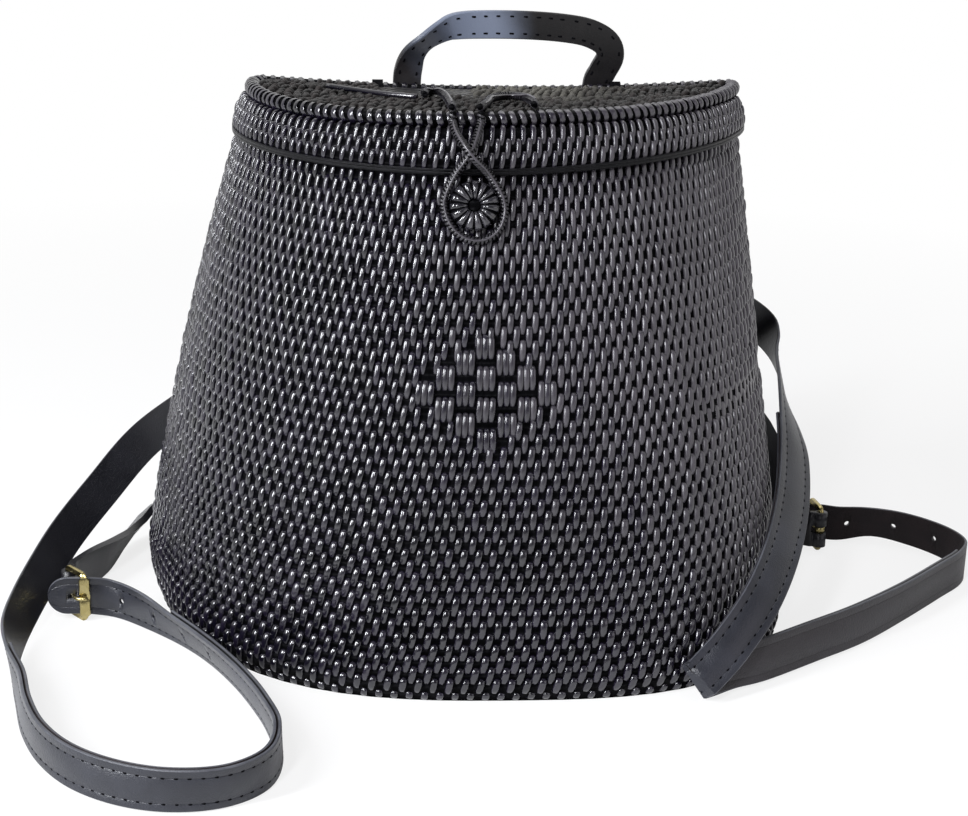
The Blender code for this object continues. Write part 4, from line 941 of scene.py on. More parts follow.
class Maker:
    """What every sub-assembly uses: the frame, the shell, the repeater and the finishes."""

    def __init__(self, frame: dict) -> None:
        """Keep the frame and build the shared tools."""
        self.nodes = frame["nodes"]
        self.shell = Shell()
        self.repeat = Repeater()
        self.palette = Palette()
        self.chance = random.Random(11)

    def settle(self, made: Piece, body: Body,
               finish: Optional[Material] = None, stands_for: Sequence[str] = ()) -> Piece:
        """Give a finished piece its material and body, and hide the nodes it stands for.

        Args:
            made: The finished piece.
            body: The body it rides on.
            finish: Its material, where it has none yet.
            stands_for: Solids that it replaces.

        Returns:
            The same piece.
        """
        if finish is not None:
            made.data.materials.clear()
            made.data.materials.append(finish)
        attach(made, body.value)
        if stands_for:
            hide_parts(*stands_for)
        LOG.info("piece %s on %s, %d faces", made.name, body.value, len(made.data.polygons))
        return made

    def carry_over(self, node: str, body: Body, finish: Material,
                   angle: float = 35.0) -> Piece:
        """Make a welded, smooth copy of a solid that keeps its shape.

        Args:
            node: The solid's name.
            body: Its body.
            finish: Its material.
            angle: Edges sharper than this many degrees stay sharp.

        Returns:
            The piece.
        """
        bm = bmesh.new()
        bm.from_mesh(self.nodes[node].data)
        bmesh.ops.remove_doubles(bm, verts=bm.verts, dist=GAP / 30)
        bmesh.ops.dissolve_degenerate(bm, edges=bm.edges, dist=GAP / 30)
        made = bm_object("looks_" + node, bm, angle)
        return self.settle(made, body, finish, (node,))


# Woven wall
@dataclass
class Spot:
    """A place on a surface with the way out of it and the way up it."""

    point: Vector
    outward: Vector
    upward: Vector


class SurfaceGrid:
    """Rows of points up a wall, with places found between them."""

    def __init__(self, rows: List[List[Vector]]) -> None:
        """Keep the rows, which are closed rings of the same count."""
        self.rows = rows
        self.columns = len(rows[0])

    def corner(self, row: int, column: int) -> Vector:
        """A grid point, with the row kept in range."""
        return self.rows[min(max(row, 0), len(self.rows) - 1)][column % self.columns]

    def point(self, row: float, column: float) -> Vector:
        """The point between grid points."""
        low, left = math.floor(row), math.floor(column)
        first = self.corner(low, left).lerp(self.corner(low, left + 1), column - left)
        second = self.corner(low + 1, left).lerp(self.corner(low + 1, left + 1), column - left)
        return first.lerp(second, row - low)

    def spot(self, row: float, column: float, lean: float = 0.0) -> Spot:
        """The place at a row and column; its way up leans by so many columns for each row."""
        high, low = min(row + 0.9, len(self.rows) - 1), max(row - 0.9, 0.0)
        up = (self.point(high, column + lean * (high - row))
              - self.point(low, column - lean * (row - low))).normalized()
        run = (self.point(row, column + 1.0) - self.point(row, column - 1.0)).normalized()
        out = run.cross(up).normalized()
        return Spot(self.point(row, column), out, up)

    def spacing(self, row: float, column: float) -> float:
        """Distance between neighbouring columns there."""
        return (self.point(row, column + 0.5) - self.point(row, column - 0.5)).length


@dataclass
class WovenBody:
    """The basket's woven wall with its diamond, its base and its inner collar."""

    columns: int = 252
    rows: int = 41
    row_growth: float = 0.10
    twist_low: float = 0.34
    twist_fall: float = 0.0033
    lean: float = 0.10
    strand_width_share: float = 0.98
    strand_length_share: float = 1.70
    strand_rise: float = 0.0015
    length_range: Pair = (0.92, 1.06)
    width_range: Pair = (0.92, 1.06)
    rise_range: Pair = (0.85, 1.15)
    push_range: Pair = (-0.0002, 0.0003)
    end_shares: Dict[int, float] = field(default_factory=lambda: {0: 0.56, 40: 0.84})
    bands: int = 4
    smooth_x: float = 0.102
    smooth_low: float = 0.1080
    smooth_high: float = 0.1165
    smooth_rise: float = 0.30
    diamond_z: float = 0.1284
    diamond_x: float = 0.0075
    diamond_side: int = 4
    diamond_reach: float = 0.96
    block_width: float = 0.0087
    block_step: float = 0.0062
    block_strands: int = 3
    block_length: float = 0.0116
    block_spread: float = 0.3
    block_squeeze: float = 0.05
    block_rise_share: float = 1.15
    block_rise_range: Pair = (0.95, 1.15)
    collar_rows: int = 2
    collar_inset: float = 0.0054
    collar_start: float = 0.0030
    collar_pitch: float = 0.0038
    collar_probe: float = 0.002
    collar_strand: Triple = (0.0022, 0.0007, 0.0042)

    def grid(self, maker: Maker) -> SurfaceGrid:
        """Rings of places from the foot to the seam.

        Args:
            maker: The shared tools.

        Returns:
            The rings as a grid.
        """
        shell = maker.shell
        rings = []
        for j in range(self.rows + 1):
            share = j / self.rows
            z = shell.seam * share * (1 - self.row_growth * (1 - share))
            inset = shell.foot_inset(z)
            rings.append(shell.ring(z, inset, shell.back_y - inset, self.columns))
        return SurfaceGrid(rings)

    def build(self, maker: Maker) -> None:
        """Build all pieces of the body.

        Args:
            maker: The shared tools.
        """
        palette = maker.palette
        maker.carry_over("body_wall", Body.BASKET, palette.wall)
        maker.carry_over("base_panel", Body.BASKET, palette.underside)
        maker.carry_over("collar", Body.BASKET, palette.wall)
        maker.carry_over("mouth_coil", Body.BASKET, palette.strand_dull)
        grid = self.grid(maker)
        strip = Strands.strip("strand_unit")
        self.weave(maker, grid, strip)
        self.diamond(maker, grid, strip)
        self.collar(maker, strip)
        bpy.data.objects.remove(strip)

    def diamond_place(self, grid: SurfaceGrid) -> Pair:
        """Row and column of the diamond's middle on the front."""
        above = next(j for j in range(self.rows) if grid.corner(j, 0).z > self.diamond_z)
        low, high = grid.corner(above - 1, 0).z, grid.corner(above, 0).z
        row = above - (high - self.diamond_z) / (high - low)
        front = [i / 4 for i in range(4 * self.columns) if grid.point(row, i / 4).y < 0]
        return row, min(front, key=lambda c: abs(grid.point(row, c).x - self.diamond_x))

    def twist(self, row: float) -> float:
        """How many columns the weave has drifted sideways at a row."""
        return self.twist_low * row - self.twist_fall * row * row

    def weave(self, maker: Maker, grid: SurfaceGrid, strip: Piece) -> None:
        """Upright strands in brick order round the wall, in a few pieces up it.

        Args:
            maker: The shared tools.
            grid: Places on the wall.
            strip: The unit strand.
        """
        middle_row, middle_column = self.diamond_place(grid)
        row_height = maker.shell.seam / self.rows
        share = self.rows / self.bands
        chance = maker.chance
        for band in range(self.bands):
            guide = Guide()
            for j in range(round(band * share), round((band + 1) * share)):
                row = j + 0.5
                lean = self.twist(row + 0.5) - self.twist(row - 0.5) + self.lean
                row_long = chance.uniform(*self.length_range)
                for i in range(self.columns):
                    if (i + j) % 2:
                        continue
                    column = i + self.twist(row)
                    spacing = grid.spacing(row, column)
                    across = abs(column - middle_column) * spacing / (self.block_width * self.diamond_side)
                    along = abs(row - middle_row) * row_height / (self.block_step * self.diamond_side)
                    if across + along < self.diamond_reach:
                        continue
                    spot = grid.spot(row, column, lean)
                    push = spot.outward * chance.uniform(*self.push_range)
                    wide = spacing * self.strand_width_share * chance.uniform(*self.width_range)
                    step = (grid.point(row + 0.5, column) - grid.point(row - 0.5, column)).length
                    long = step * row_long * self.end_shares.get(j, 1.0)
                    rise = chance.uniform(*self.rise_range)
                    if self.smooth_low < spot.point.z < self.smooth_high and spot.point.x > self.smooth_x:
                        rise *= self.smooth_rise
                    guide.add(spot.point + push, spot.outward, spot.upward, Vector((wide, rise, long)))
            size = (1.0, self.strand_rise, self.strand_length_share)
            made = maker.repeat.grow("woven_wall_%d" % (band + 1), guide, strip, size,
                                     maker.palette.strand, 3 + band)
            maker.settle(made, Body.BASKET)

    def diamond(self, maker: Maker, grid: SurfaceGrid, strip: Piece) -> None:
        """Blocks of three strands side by side, four by four, on the front.

        Args:
            maker: The shared tools.
            grid: Places on the wall.
            strip: The unit strand.
        """
        row, column = self.diamond_place(grid)
        row_height = maker.shell.seam / self.rows
        spacing = grid.spacing(row, column)
        guide = Guide()
        last = self.diamond_side - 1
        for a in range(self.diamond_side):
            for b in range(self.diamond_side):
                across = (a - b) * self.block_width
                drop = (a + b - last) * self.block_step
                for k in range(self.block_strands):
                    shift = (k - (self.block_strands - 1) / 2) * self.block_width
                    shift /= self.block_strands + self.block_spread
                    spot = grid.spot(row - drop / row_height, column + (across + shift) / spacing, self.lean)
                    guide.add(spot.point, spot.outward, spot.upward,
                              Vector((1.0, maker.chance.uniform(*self.block_rise_range), 1.0)))
        size = (self.block_width / (self.block_strands + self.block_squeeze),
                self.strand_rise * self.block_rise_share, self.block_length)
        made = maker.repeat.grow("woven_diamond", guide, strip, size, maker.palette.strand, 9, 0.02, 0.03)
        maker.settle(made, Body.BASKET)

    def collar(self, maker: Maker, strip: Piece) -> None:
        """Short strands on the collar above the seam, seen when the lid is open.

        Args:
            maker: The shared tools.
            strip: The unit strand.
        """
        shell = maker.shell
        inset = self.collar_inset
        guide = Guide()
        for j in range(self.collar_rows):
            z = shell.seam + self.collar_start + self.collar_pitch * j
            ring = shell.ring(z, inset, shell.back_y - inset, self.columns)
            above = shell.ring(z + self.collar_probe, inset, shell.back_y - inset, self.columns)
            grid = SurfaceGrid([ring, above])
            for i in range(j % 2, self.columns, 2):
                spot = grid.spot(0.0, float(i))
                guide.add(spot.point, spot.outward, spot.upward)
        made = maker.repeat.grow("collar_weave", guide, strip, self.collar_strand,
                                 maker.palette.strand_dull, 21)
        maker.settle(made, Body.BASKET)


@dataclass
class WovenLid:
    """The lid: woven top, wrapped coil round its edge, skirt and plain rim."""

    columns: int = 252
    skirt_rows: int = 3
    rim_height: float = 0.0026
    bulge_shares: Tuple[Pair, ...] = ((0.0, 0.80), (0.35, 1.0), (0.75, 0.95), (1.0, 0.70))
    back_clear: float = 0.0100
    strand_rise: float = 0.0015
    skirt_lean: float = 0.2
    skirt_length_share: float = 1.62
    skirt_width_range: Pair = (0.90, 1.04)
    skirt_rise_range: Pair = (0.8, 1.1)
    skirt_length_range: Pair = (0.94, 1.06)
    coil_wraps: int = 252
    wrap_thickness_share: float = 0.40
    wrap_lean: float = 0.25
    wrap_lean_range: Pair = (0.5, 1.5)
    wrap_size: float = 1.02
    wrap_size_range: Pair = (0.97, 1.03)
    wrap_width_range: Pair = (1.0, 1.2)
    top_row_step: float = 0.0044
    top_column_step: float = 0.0040
    top_inset: float = 0.0040
    top_lift: float = 0.0012
    top_probe: float = 0.002
    top_strand: Triple = (0.0024, 0.0021, 0.0066)
    top_lean_range: Pair = (0.35, 1.05)
    top_width_range: Pair = (0.8, 1.2)
    top_rise_range: Pair = (0.6, 1.5)
    top_length_range: Pair = (0.85, 1.2)
    low_reach: float = 0.0400
    low_span: Pair = (-0.036, 0.008)
    low_share: float = 0.30

    def build(self, maker: Maker) -> None:
        """Build all pieces of the lid.

        Args:
            maker: The shared tools.
        """
        palette = maker.palette
        maker.carry_over("lid_panel", Body.LID, palette.underside)
        maker.carry_over("lid_skirt", Body.LID, palette.wall)
        maker.carry_over("lid_rim", Body.LID, palette.rim)
        maker.carry_over("lid_coil", Body.LID, palette.wall, 60.0)
        strip = Strands.strip("strand_unit")
        self.skirt(maker, strip)
        self.top(maker, strip)
        bpy.data.objects.remove(strip)
        self.coil(maker)
        for side in Side:
            maker.carry_over("hinge_ring_" + side.value, Body.BASKET, palette.wall)

    def bulge(self, share: float) -> float:
        """How far the skirt stands out at a share of its height."""
        for (low, first), (high, second) in zip(self.bulge_shares, self.bulge_shares[1:]):
            if share <= high:
                return first + (second - first) * (share - low) / (high - low)
        return self.bulge_shares[-1][1]

    def skirt_grid(self, maker: Maker) -> SurfaceGrid:
        """Rings of places on the skirt's face, from the rim to the coil.

        Args:
            maker: The shared tools.

        Returns:
            The rings as a grid.
        """
        shell = maker.shell
        low = shell.seam + self.rim_height + 2 * GAP
        high = shell.height - 2 * shell.coil
        rings = []
        for j in range(self.skirt_rows + 1):
            share = j / self.skirt_rows
            plan = shell.ring(low + (high - low) * share, -shell.proud * self.bulge(share), shell.hinge_y,
                              self.columns)
            tops = [shell.edge_z(p.x, p.y) - 2 * shell.coil - RUN_GAP for p in plan]
            rings.append([Vector((p.x, p.y, low + (top - low) * share)) for p, top in zip(plan, tops)])
        return SurfaceGrid(rings)

    def skirt(self, maker: Maker, strip: Piece) -> None:
        """Upright strands in brick order on the skirt.

        Args:
            maker: The shared tools.
            strip: The unit strand.
        """
        grid = self.skirt_grid(maker)
        guide = Guide()
        chance = maker.chance
        for j in range(self.skirt_rows):
            row = j + 0.5
            for i in range(self.columns):
                if (i + j) % 2 or grid.point(row, i).y > maker.shell.hinge_y - self.back_clear:
                    continue
                spot = grid.spot(row, i, self.skirt_lean)
                step = (grid.point(j + 1.0, i) - grid.point(float(j), i)).length
                wide = grid.spacing(row, i) * chance.uniform(*self.skirt_width_range)
                guide.add(spot.point, spot.outward, spot.upward,
                          Vector((wide, chance.uniform(*self.skirt_rise_range),
                                  step * chance.uniform(*self.skirt_length_range))))
        size = (1.0, self.strand_rise, self.skirt_length_share)
        made = maker.repeat.grow("skirt_weave", guide, strip, size, maker.palette.strand, 30, 0.05, 0.04)
        maker.settle(made, Body.LID)

    def top(self, maker: Maker, strip: Piece) -> None:
        """Coarse slanting strands all over the lid's top.

        Args:
            maker: The shared tools.
            strip: The unit strand.
        """
        shell = maker.shell
        outline = shell.lid_outline(self.columns)
        reach, probe = self.top_inset, self.top_probe
        chance = maker.chance
        guide = Guide()
        low_y = min(p.y for p in outline)
        row = 0
        y = low_y + reach
        while y < shell.hinge_y - reach:
            crossing = sorted(self.crossings(outline, y))
            if len(crossing) >= 2:
                x = crossing[0] + reach + self.top_column_step * (0.5 if row % 2 else 0.0)
                while x < crossing[-1] - reach:
                    z = shell.edge_z(x, y) - shell.coil + self.top_lift
                    slope = shell.edge_z(x, y + probe) - shell.edge_z(x, y - probe)
                    tilt = shell.edge_z(x + probe, y) - shell.edge_z(x - probe, y)
                    out = Vector((-tilt, -slope, 2 * probe)).normalized()
                    lean = chance.uniform(*self.top_lean_range)
                    up = Vector((lean, 1.0, slope / (2 * probe))).normalized()
                    stretch = Vector((chance.uniform(*self.top_width_range),
                                      chance.uniform(*self.top_rise_range),
                                      chance.uniform(*self.top_length_range)))
                    if y > shell.hinge_y - self.low_reach and self.low_span[0] < x < self.low_span[1]:
                        stretch.y *= self.low_share
                    guide.add(Vector((x, y, z)), out, up, stretch)
                    x += self.top_column_step
            y += self.top_row_step
            row += 1
        made = maker.repeat.grow("lid_top_weave", guide, strip, self.top_strand, maker.palette.lid_top, 41,
                                 0.10, 0.10)
        maker.settle(made, Body.LID)

    @staticmethod
    def crossings(outline: Sequence[Vector], y: float) -> List[float]:
        """Where a line across the lid meets its outline."""
        found = []
        for first, second in zip(outline, list(outline[1:]) + [outline[0]]):
            if (first.y - y) * (second.y - y) <= 0 and first.y != second.y:
                share = (y - first.y) / (second.y - first.y)
                found.append(first.x + (second.x - first.x) * share)
        return found

    def coil(self, maker: Maker) -> None:
        """Leaning wraps round the coil at the lid's edge, one above each strand of the skirt's top row.

        Args:
            maker: The shared tools.
        """
        ring = Strands.ring("wrap_unit", self.wrap_thickness_share, 14)
        outline = maker.shell.lid_outline(self.coil_wraps)
        chance = maker.chance
        guide = Guide()
        count = len(outline)
        for i, point in enumerate(outline):
            if i % 2:
                continue
            run = (outline[(i + 1) % count] - outline[i - 1]).normalized()
            out = run.cross(UP).normalized()
            axis = (run + UP * self.wrap_lean * chance.uniform(*self.wrap_lean_range)).normalized()
            size = self.wrap_size * chance.uniform(*self.wrap_size_range)
            wide = chance.uniform(*self.wrap_width_range)
            guide.add(point, (out - axis * out.dot(axis)).normalized(), axis, Vector((size, size, wide)))
        radius = maker.shell.coil
        made = maker.repeat.grow("lid_coil_wraps", guide, ring, (radius, radius, radius),
                                 maker.palette.strand, 51, 0.05, 0.10)
        maker.settle(made, Body.LID)
        bpy.data.objects.remove(ring)


@dataclass
class Closure:
    """Button, whipped loop, its roots on the lid and the thin tie cord."""

    button_height: float = 0.2037
    button_radius: float = 0.0102
    button_top: float = 0.0064
    hole_radius: float = 0.0030
    spokes: int = 15
    spoke_width: float = 0.0034
    spoke_rise: float = 0.0019
    spoke_sink: float = 0.0010
    spoke_overlap: float = 0.0008
    spoke_width_range: Pair = (0.85, 1.05)
    spoke_rise_range: Pair = (0.8, 1.2)
    cord_radius: float = 0.0020
    side_radius: float = 0.0128
    bottom_radius: float = 0.0148
    cross_rise: float = 0.0245
    leg_spread: float = 0.0060
    root_reaches: Dict[Side, Tuple[Pair, ...]] = field(default_factory=lambda: {
        Side.LEFT: ((0.0, 0.0), (0.0002, 0.0200), (0.0008, 0.0400), (0.0025, 0.0560), (0.0060, 0.0600),
                    (0.0092, 0.0540), (0.0099, 0.0440)),
        Side.RIGHT: ((0.0, 0.0), (0.0035, 0.0150), (0.0063, 0.0300), (0.0115, 0.0405), (0.0175, 0.0430),
                     (0.0225, 0.0360), (0.0240, 0.0220), (0.0238, 0.0090)),
    })
    top_lean: float = 0.30
    knee_share: float = 0.45
    straight_end: float = 0.0042
    knee_spread_share: float = 0.75
    shoulder_x_share: float = 0.55
    shoulder_z_share: float = 0.88
    wrap_deg: float = 20.0
    whip_pitch: float = 0.00165
    whip_lean: float = 0.55
    whip_share: float = 0.90
    whip_thickness_share: float = 0.30
    laid_out_share: float = 1.08
    laid_share: float = 0.26
    end_size: float = 0.90
    end_growth: float = 0.05
    core_share: float = 0.84

    def axis_point(self, shell: Shell) -> Vector:
        """Where the loop turns about the lid's front coil."""
        _, depth, _, middle, drift = shell.sizes(shell.height)
        y = shell.back_y - depth - shell.proud + shell.coil
        x = middle + drift
        front = Vector((x, y, shell.edge_z(x, y) - shell.coil))
        reach = (shell.coil + self.cord_radius + GAP) * math.sqrt(0.5)
        return front + Vector((0.0, -reach - RUN_GAP, reach + RUN_GAP))

    def loop_path(self, shell: Shell) -> List[Vector]:
        """Middle line of the loop: down, across, round the button, across and up again.

        Args:
            shell: The basket's outline.

        Returns:
            The points.
        """
        spot, normal, up = shell.front_frame(self.button_height)
        lean = normal * self.top_lean
        clearance = shell.proud + self.cord_radius + 3 * RUN_GAP
        centre = spot + normal * (self.cord_radius + RUN_GAP)
        axis = self.axis_point(shell)
        low = centre + up * self.cross_rise
        back = Vector((low.x, min(low.y, shell.front_point(shell.seam).y - clearance), low.z))
        front = back + Vector((0.0, -2 * self.cord_radius - GAP, 0.0))
        knee_z = back.z + (axis.z - back.z) * self.knee_share
        knee_y = shell.front_point(knee_z).y - clearance
        knee = self.leg_spread * self.knee_spread_share
        start, end = axis + SIDE * self.leg_spread, axis - SIDE * self.leg_spread
        drop = axis.z - self.cord_radius
        deep = axis.z - self.straight_end
        route = [start, Vector((start.x, axis.y - GAP, drop)), Vector((start.x, axis.y - GAP, deep)),
                 Vector((axis.x + knee, knee_y, knee_z)), back]
        shoulder = (up + lean) * self.bottom_radius * self.shoulder_z_share
        reach = SIDE * self.side_radius * self.shoulder_x_share
        route.append(centre - reach + shoulder)
        bend = math.radians(self.wrap_deg)
        for i in range(13):
            angle = math.pi - bend + (math.pi + 2 * bend) * i / 12
            rise = (self.bottom_radius if math.sin(angle) < 0 else self.side_radius) * math.sin(angle)
            route.append(centre + SIDE * self.side_radius * math.cos(angle) + up * rise
                         + lean * max(0.0, rise))
        route += [centre + reach + shoulder, front,
                  Vector((axis.x - knee, knee_y - self.cord_radius, knee_z)),
                  Vector((end.x, axis.y - GAP, deep)), Vector((end.x, axis.y - GAP, drop)), end]
        return smooth_path(route, 8)

    def root_path(self, shell: Shell, side: Side) -> List[Vector]:
        """Middle line of one of the loop's ends on the lid.

        Args:
            shell: The basket's outline.
            side: Left or right.

        Returns:
            The points.
        """
        axis = self.axis_point(shell)
        sign = -1.0 if side is Side.LEFT else 1.0
        route = []
        for out, back in ((0.0, 2 * GAP - self.cord_radius),) + self.root_reaches[side]:
            x = axis.x + sign * (self.leg_spread + out)
            y = axis.y + 2 * self.cord_radius + back
            z = max(shell.edge_z(x, y), shell.edge_z(x, y - self.cord_radius)) + self.cord_radius + GAP
            route.append(Vector((x, y, z)))
        return smooth_path(route, 6)

    def whip(self, maker: Maker, name: str, path: Sequence[Vector], seed: int) -> Piece:
        """Fine leaning wraps along a cord, with one smooth strand laid along them.

        Args:
            maker: The shared tools.
            name: The object's name.
            path: Middle line of the cord.
            seed: Seed of the small differences.

        Returns:
            The joined wraps and strand.
        """
        ring = Strands.ring("whip_unit", self.whip_thickness_share, 10, 5)
        length = path_length(path)
        count = max(4, round(length / self.whip_pitch))
        even = resample(path, count, False)
        guide = Guide()
        for i in range(1, count - 1):
            run = (even[i + 1] - even[i - 1]).normalized()
            out = (WHIP_SIDE - run * WHIP_SIDE.dot(run)).normalized()
            axis = (run + run.cross(out) * self.whip_lean).normalized()
            out = (out - axis * out.dot(axis)).normalized()
            size = min(1.0, self.end_size + self.end_growth * min(i - 1, count - 2 - i))
            guide.add(even[i], out, axis, Vector((size, size, 1.0)))
        radius = self.cord_radius * self.whip_share
        wraps = maker.repeat.grow(name + "_wraps", guide, ring, (radius, radius, radius),
                                  maker.palette.cord, seed, 0.02, 0.05)
        bpy.data.objects.remove(ring)
        laid = []
        for i in range(1, count - 1, 2):
            run = (even[i + 1] - even[i - 1]).normalized()
            out = LAID_SIDE - run * run.dot(LAID_SIDE)
            laid.append(even[i] + out.normalized() * self.cord_radius * self.laid_out_share)
        strand = tube(name + "_laid", laid[1:-1], self.cord_radius * self.laid_share, 8)
        strand.data.materials.append(maker.palette.strand)
        return join(name, [wraps, strand])

    def core(self, maker: Maker, node: str, body: Body, path: Sequence[Vector]) -> None:
        """The cord under the whipping, in place of the solid one."""
        made = tube("looks_" + node, resample(path, len(path), False), self.cord_radius * self.core_share, 10)
        maker.settle(made, body, maker.palette.wall, (node,))

    def build(self, maker: Maker) -> None:
        """Build the closure's pieces.

        Args:
            maker: The shared tools.
        """
        palette = maker.palette
        shell = maker.shell
        self.core(maker, "closure_loop", Body.LOOP, self.loop_path(shell))
        maker.settle(self.whip(maker, "loop_whipping", self.loop_path(shell), 61), Body.LOOP)
        for side in Side:
            self.core(maker, "loop_root_" + side.value, Body.LID, self.root_path(shell, side))
            made = self.whip(maker, "root_whipping_" + side.value, self.root_path(shell, side), 63)
            maker.settle(made, Body.LID)
        maker.carry_over("tie_cord", Body.LID, palette.strand, 60.0)
        maker.carry_over("button", Body.BASKET, palette.wall, 50.0)
        maker.carry_over("button_cord", Body.BASKET, palette.wall, 50.0)
        self.spoke_wraps(maker)

    def spoke_wraps(self, maker: Maker) -> None:
        """Strands wrapped through the button's hole and over its rim, like spokes.

        Args:
            maker: The shared tools.
        """
        spot, normal, up = maker.shell.front_frame(self.button_height)
        profile = ((-0.50, 1.0, -0.55), (-0.44, 1.0, 0.25), (-0.30, 1.0, 0.80), (0.0, 1.0, 1.0),
                   (0.30, 0.98, 0.90), (0.46, 0.95, 0.35), (0.50, 0.9, -0.4))
        strip = Strands.strip("spoke_unit", profile, taper=0.62)
        guide = Guide()
        across = up.cross(normal)
        middle = (self.button_radius + self.hole_radius) / 2
        for i in range(self.spokes):
            angle = math.tau * (i + 0.3) / self.spokes
            run = up * math.cos(angle) + across * math.sin(angle)
            place = spot + normal * (self.button_top - self.spoke_sink) + run * middle
            stretch = Vector((maker.chance.uniform(*self.spoke_width_range),
                              maker.chance.uniform(*self.spoke_rise_range), 1.0))
            guide.add(place, normal, -run, stretch)
        size = (self.spoke_width, self.spoke_rise, self.button_radius - self.hole_radius + self.spoke_overlap)
        made = maker.repeat.grow("button_wraps", guide, strip, size, maker.palette.button, 71, 0.03, 0.03)
        maker.settle(made, Body.BASKET)
        bpy.data.objects.remove(strip)


# Leather
STRAP_WIDTH = 0.0180
STRAP_LAYER = 0.0016
LAYER_OFFSET = (STRAP_LAYER + GAP) / 2
STRAP_FLOOR_Z = STRAP_WIDTH / 2 + 0.0005
STITCH_PITCH = 0.0050
STITCH_INSET = 0.0034
ROUTE_STEPS = 10
Route = Tuple[Tuple[float, float, float, float, float], ...]


def edge_direction(azimuth: float, elevation: float) -> Vector:
    """Direction from an azimuth and an elevation in degrees."""
    flat, turn = math.cos(math.radians(elevation)), math.radians(azimuth)
    return Vector((flat * math.cos(turn), flat * math.sin(turn), math.sin(math.radians(elevation))))


class Ribbon:
    """A strap's middle line with the direction of its upper edge at each step."""

    def __init__(self, points: Sequence[Vector], edges: Sequence[Vector]) -> None:
        """Smooth the line and the edge directions together."""
        fine_points, fine_edges = smooth_path(points, ROUTE_STEPS), smooth_path(edges, ROUTE_STEPS)
        marks = [0.0]
        for first, second in zip(fine_points, fine_points[1:]):
            marks.append(marks[-1] + (second - first).length)
        self.length = marks[-1]
        self.station_marks = [marks[i * ROUTE_STEPS] for i in range(len(points))]
        self.fine = list(zip(marks, fine_points, fine_edges))

    def at(self, mark: float) -> Tuple[Vector, Vector, Vector, Vector]:
        """Point, tangent, upper edge direction and face normal at a length along it.

        Args:
            mark: Length along the ribbon.

        Returns:
            The four, in that order.
        """
        mark = min(max(mark, 0.0), self.length)
        index = 0
        while index < len(self.fine) - 2 and self.fine[index + 1][0] < mark:
            index += 1
        low, first, first_edge = self.fine[index]
        high, second, second_edge = self.fine[index + 1]
        mix = (mark - low) / (high - low)
        before = self.fine[max(0, index - 1)][1]
        after = self.fine[min(len(self.fine) - 1, index + 2)][1]
        tangent = (after - before).normalized()
        edge = first_edge.lerp(second_edge, mix)
        edge = (edge - tangent * edge.dot(tangent)).normalized()
        return first.lerp(second, mix), tangent, edge, tangent.cross(edge)


@dataclass
class Band:
    """A leather band along a ribbon, with rounded edges and pressed lines."""

    width: float = STRAP_WIDTH
    thickness: float = STRAP_LAYER
    edge: float = 0.00035
    groove: float = 0.00022
    groove_half: float = 0.00035
    step: float = 0.0025

    def section(self, outer: float) -> List[Pair]:
        """Edge and face coordinates of the section; the pressed lines are on the outer face.

        Args:
            outer: 1 or -1, the side of the outer face.

        Returns:
            The points of the section.
        """
        half, face = self.width / 2, self.thickness / 2
        line = half - STITCH_INSET
        inner = face - self.groove
        across = [(-half + self.edge, face), (-line - self.groove_half, face), (-line, inner),
                  (-line + self.groove_half, face), (line - self.groove_half, face), (line, inner),
                  (line + self.groove_half, face), (half - self.edge, face), (half, face - self.edge),
                  (half, -face + self.edge), (half - self.edge, -face), (-half + self.edge, -face),
                  (-half, -face + self.edge), (-half, face - self.edge)]
        return [(e, n * outer) for e, n in across]

    def along(self, name: str, ribbon: Ribbon, start: float, end: float, offset: float, outer: float,
              grain: Material, flesh: Material, border: Material,
              tip: float = 0.0) -> Piece:
        """Skin the band.

        Args:
            name: The object's name.
            ribbon: Its middle line.
            start: Length where it starts.
            end: Length where it ends.
            offset: How far its middle lies off the ribbon along the face normal.
            outer: 1 or -1, the side of its outer face.
            grain: Material of its outer face.
            flesh: Material of its inner face.
            border: Material of its cut edges.
            tip: Length of its rounded tip.

        Returns:
            The band.
        """
        count = max(2, round((end - start - tip) / self.step))
        marks = [start + (end - tip - start) * i / count for i in range(count + 1)]
        if tip > 0:
            marks += [end - tip * share for share in (0.85, 0.7, 0.55, 0.42, 0.3, 0.2, 0.12, 0.06, 0.02)]
        profile = self.section(outer)
        sections = []
        for mark in marks:
            point, _, edge, normal = ribbon.at(mark)
            narrow = 1.0
            if tip > 0 and mark > end - tip:
                left = (end - mark) / tip
                narrow = math.sqrt(max(0.03, 1 - (1 - left) ** 2))
            sections.append([point + normal * (offset + n) + edge * e * narrow for e, n in profile])
        made = loft(name, sections, angle=38.0)
        made.data.materials.append(grain)
        made.data.materials.append(flesh)
        made.data.materials.append(border)
        size = len(profile)
        near_edge = self.width / 2 - self.edge * 1.5
        for face in made.data.polygons[:size * (len(sections) - 1)]:
            first, second = profile[face.index % size], profile[(face.index + 1) % size]
            if first[1] * outer < 0 and second[1] * outer < 0:
                face.material_index = 1
            elif min(abs(first[0]), abs(second[0])) > near_edge:
                face.material_index = 2
        return made

    def stitches(self, guide: Guide, ribbon: Ribbon, start: float, end: float, offset: float,
                 outer: float) -> None:
        """Add the places of the two rows of stitches on the outer face."""
        count = int((end - start) / STITCH_PITCH)
        for i in range(1, count):
            point, tangent, edge, normal = ribbon.at(start + STITCH_PITCH * i)
            for sign in (-1.0, 1.0):
                place = point + edge * sign * (self.width / 2 - STITCH_INSET)
                place += normal * (offset + outer * (self.thickness / 2 - self.groove))
                guide.add(place, normal * outer, tangent)


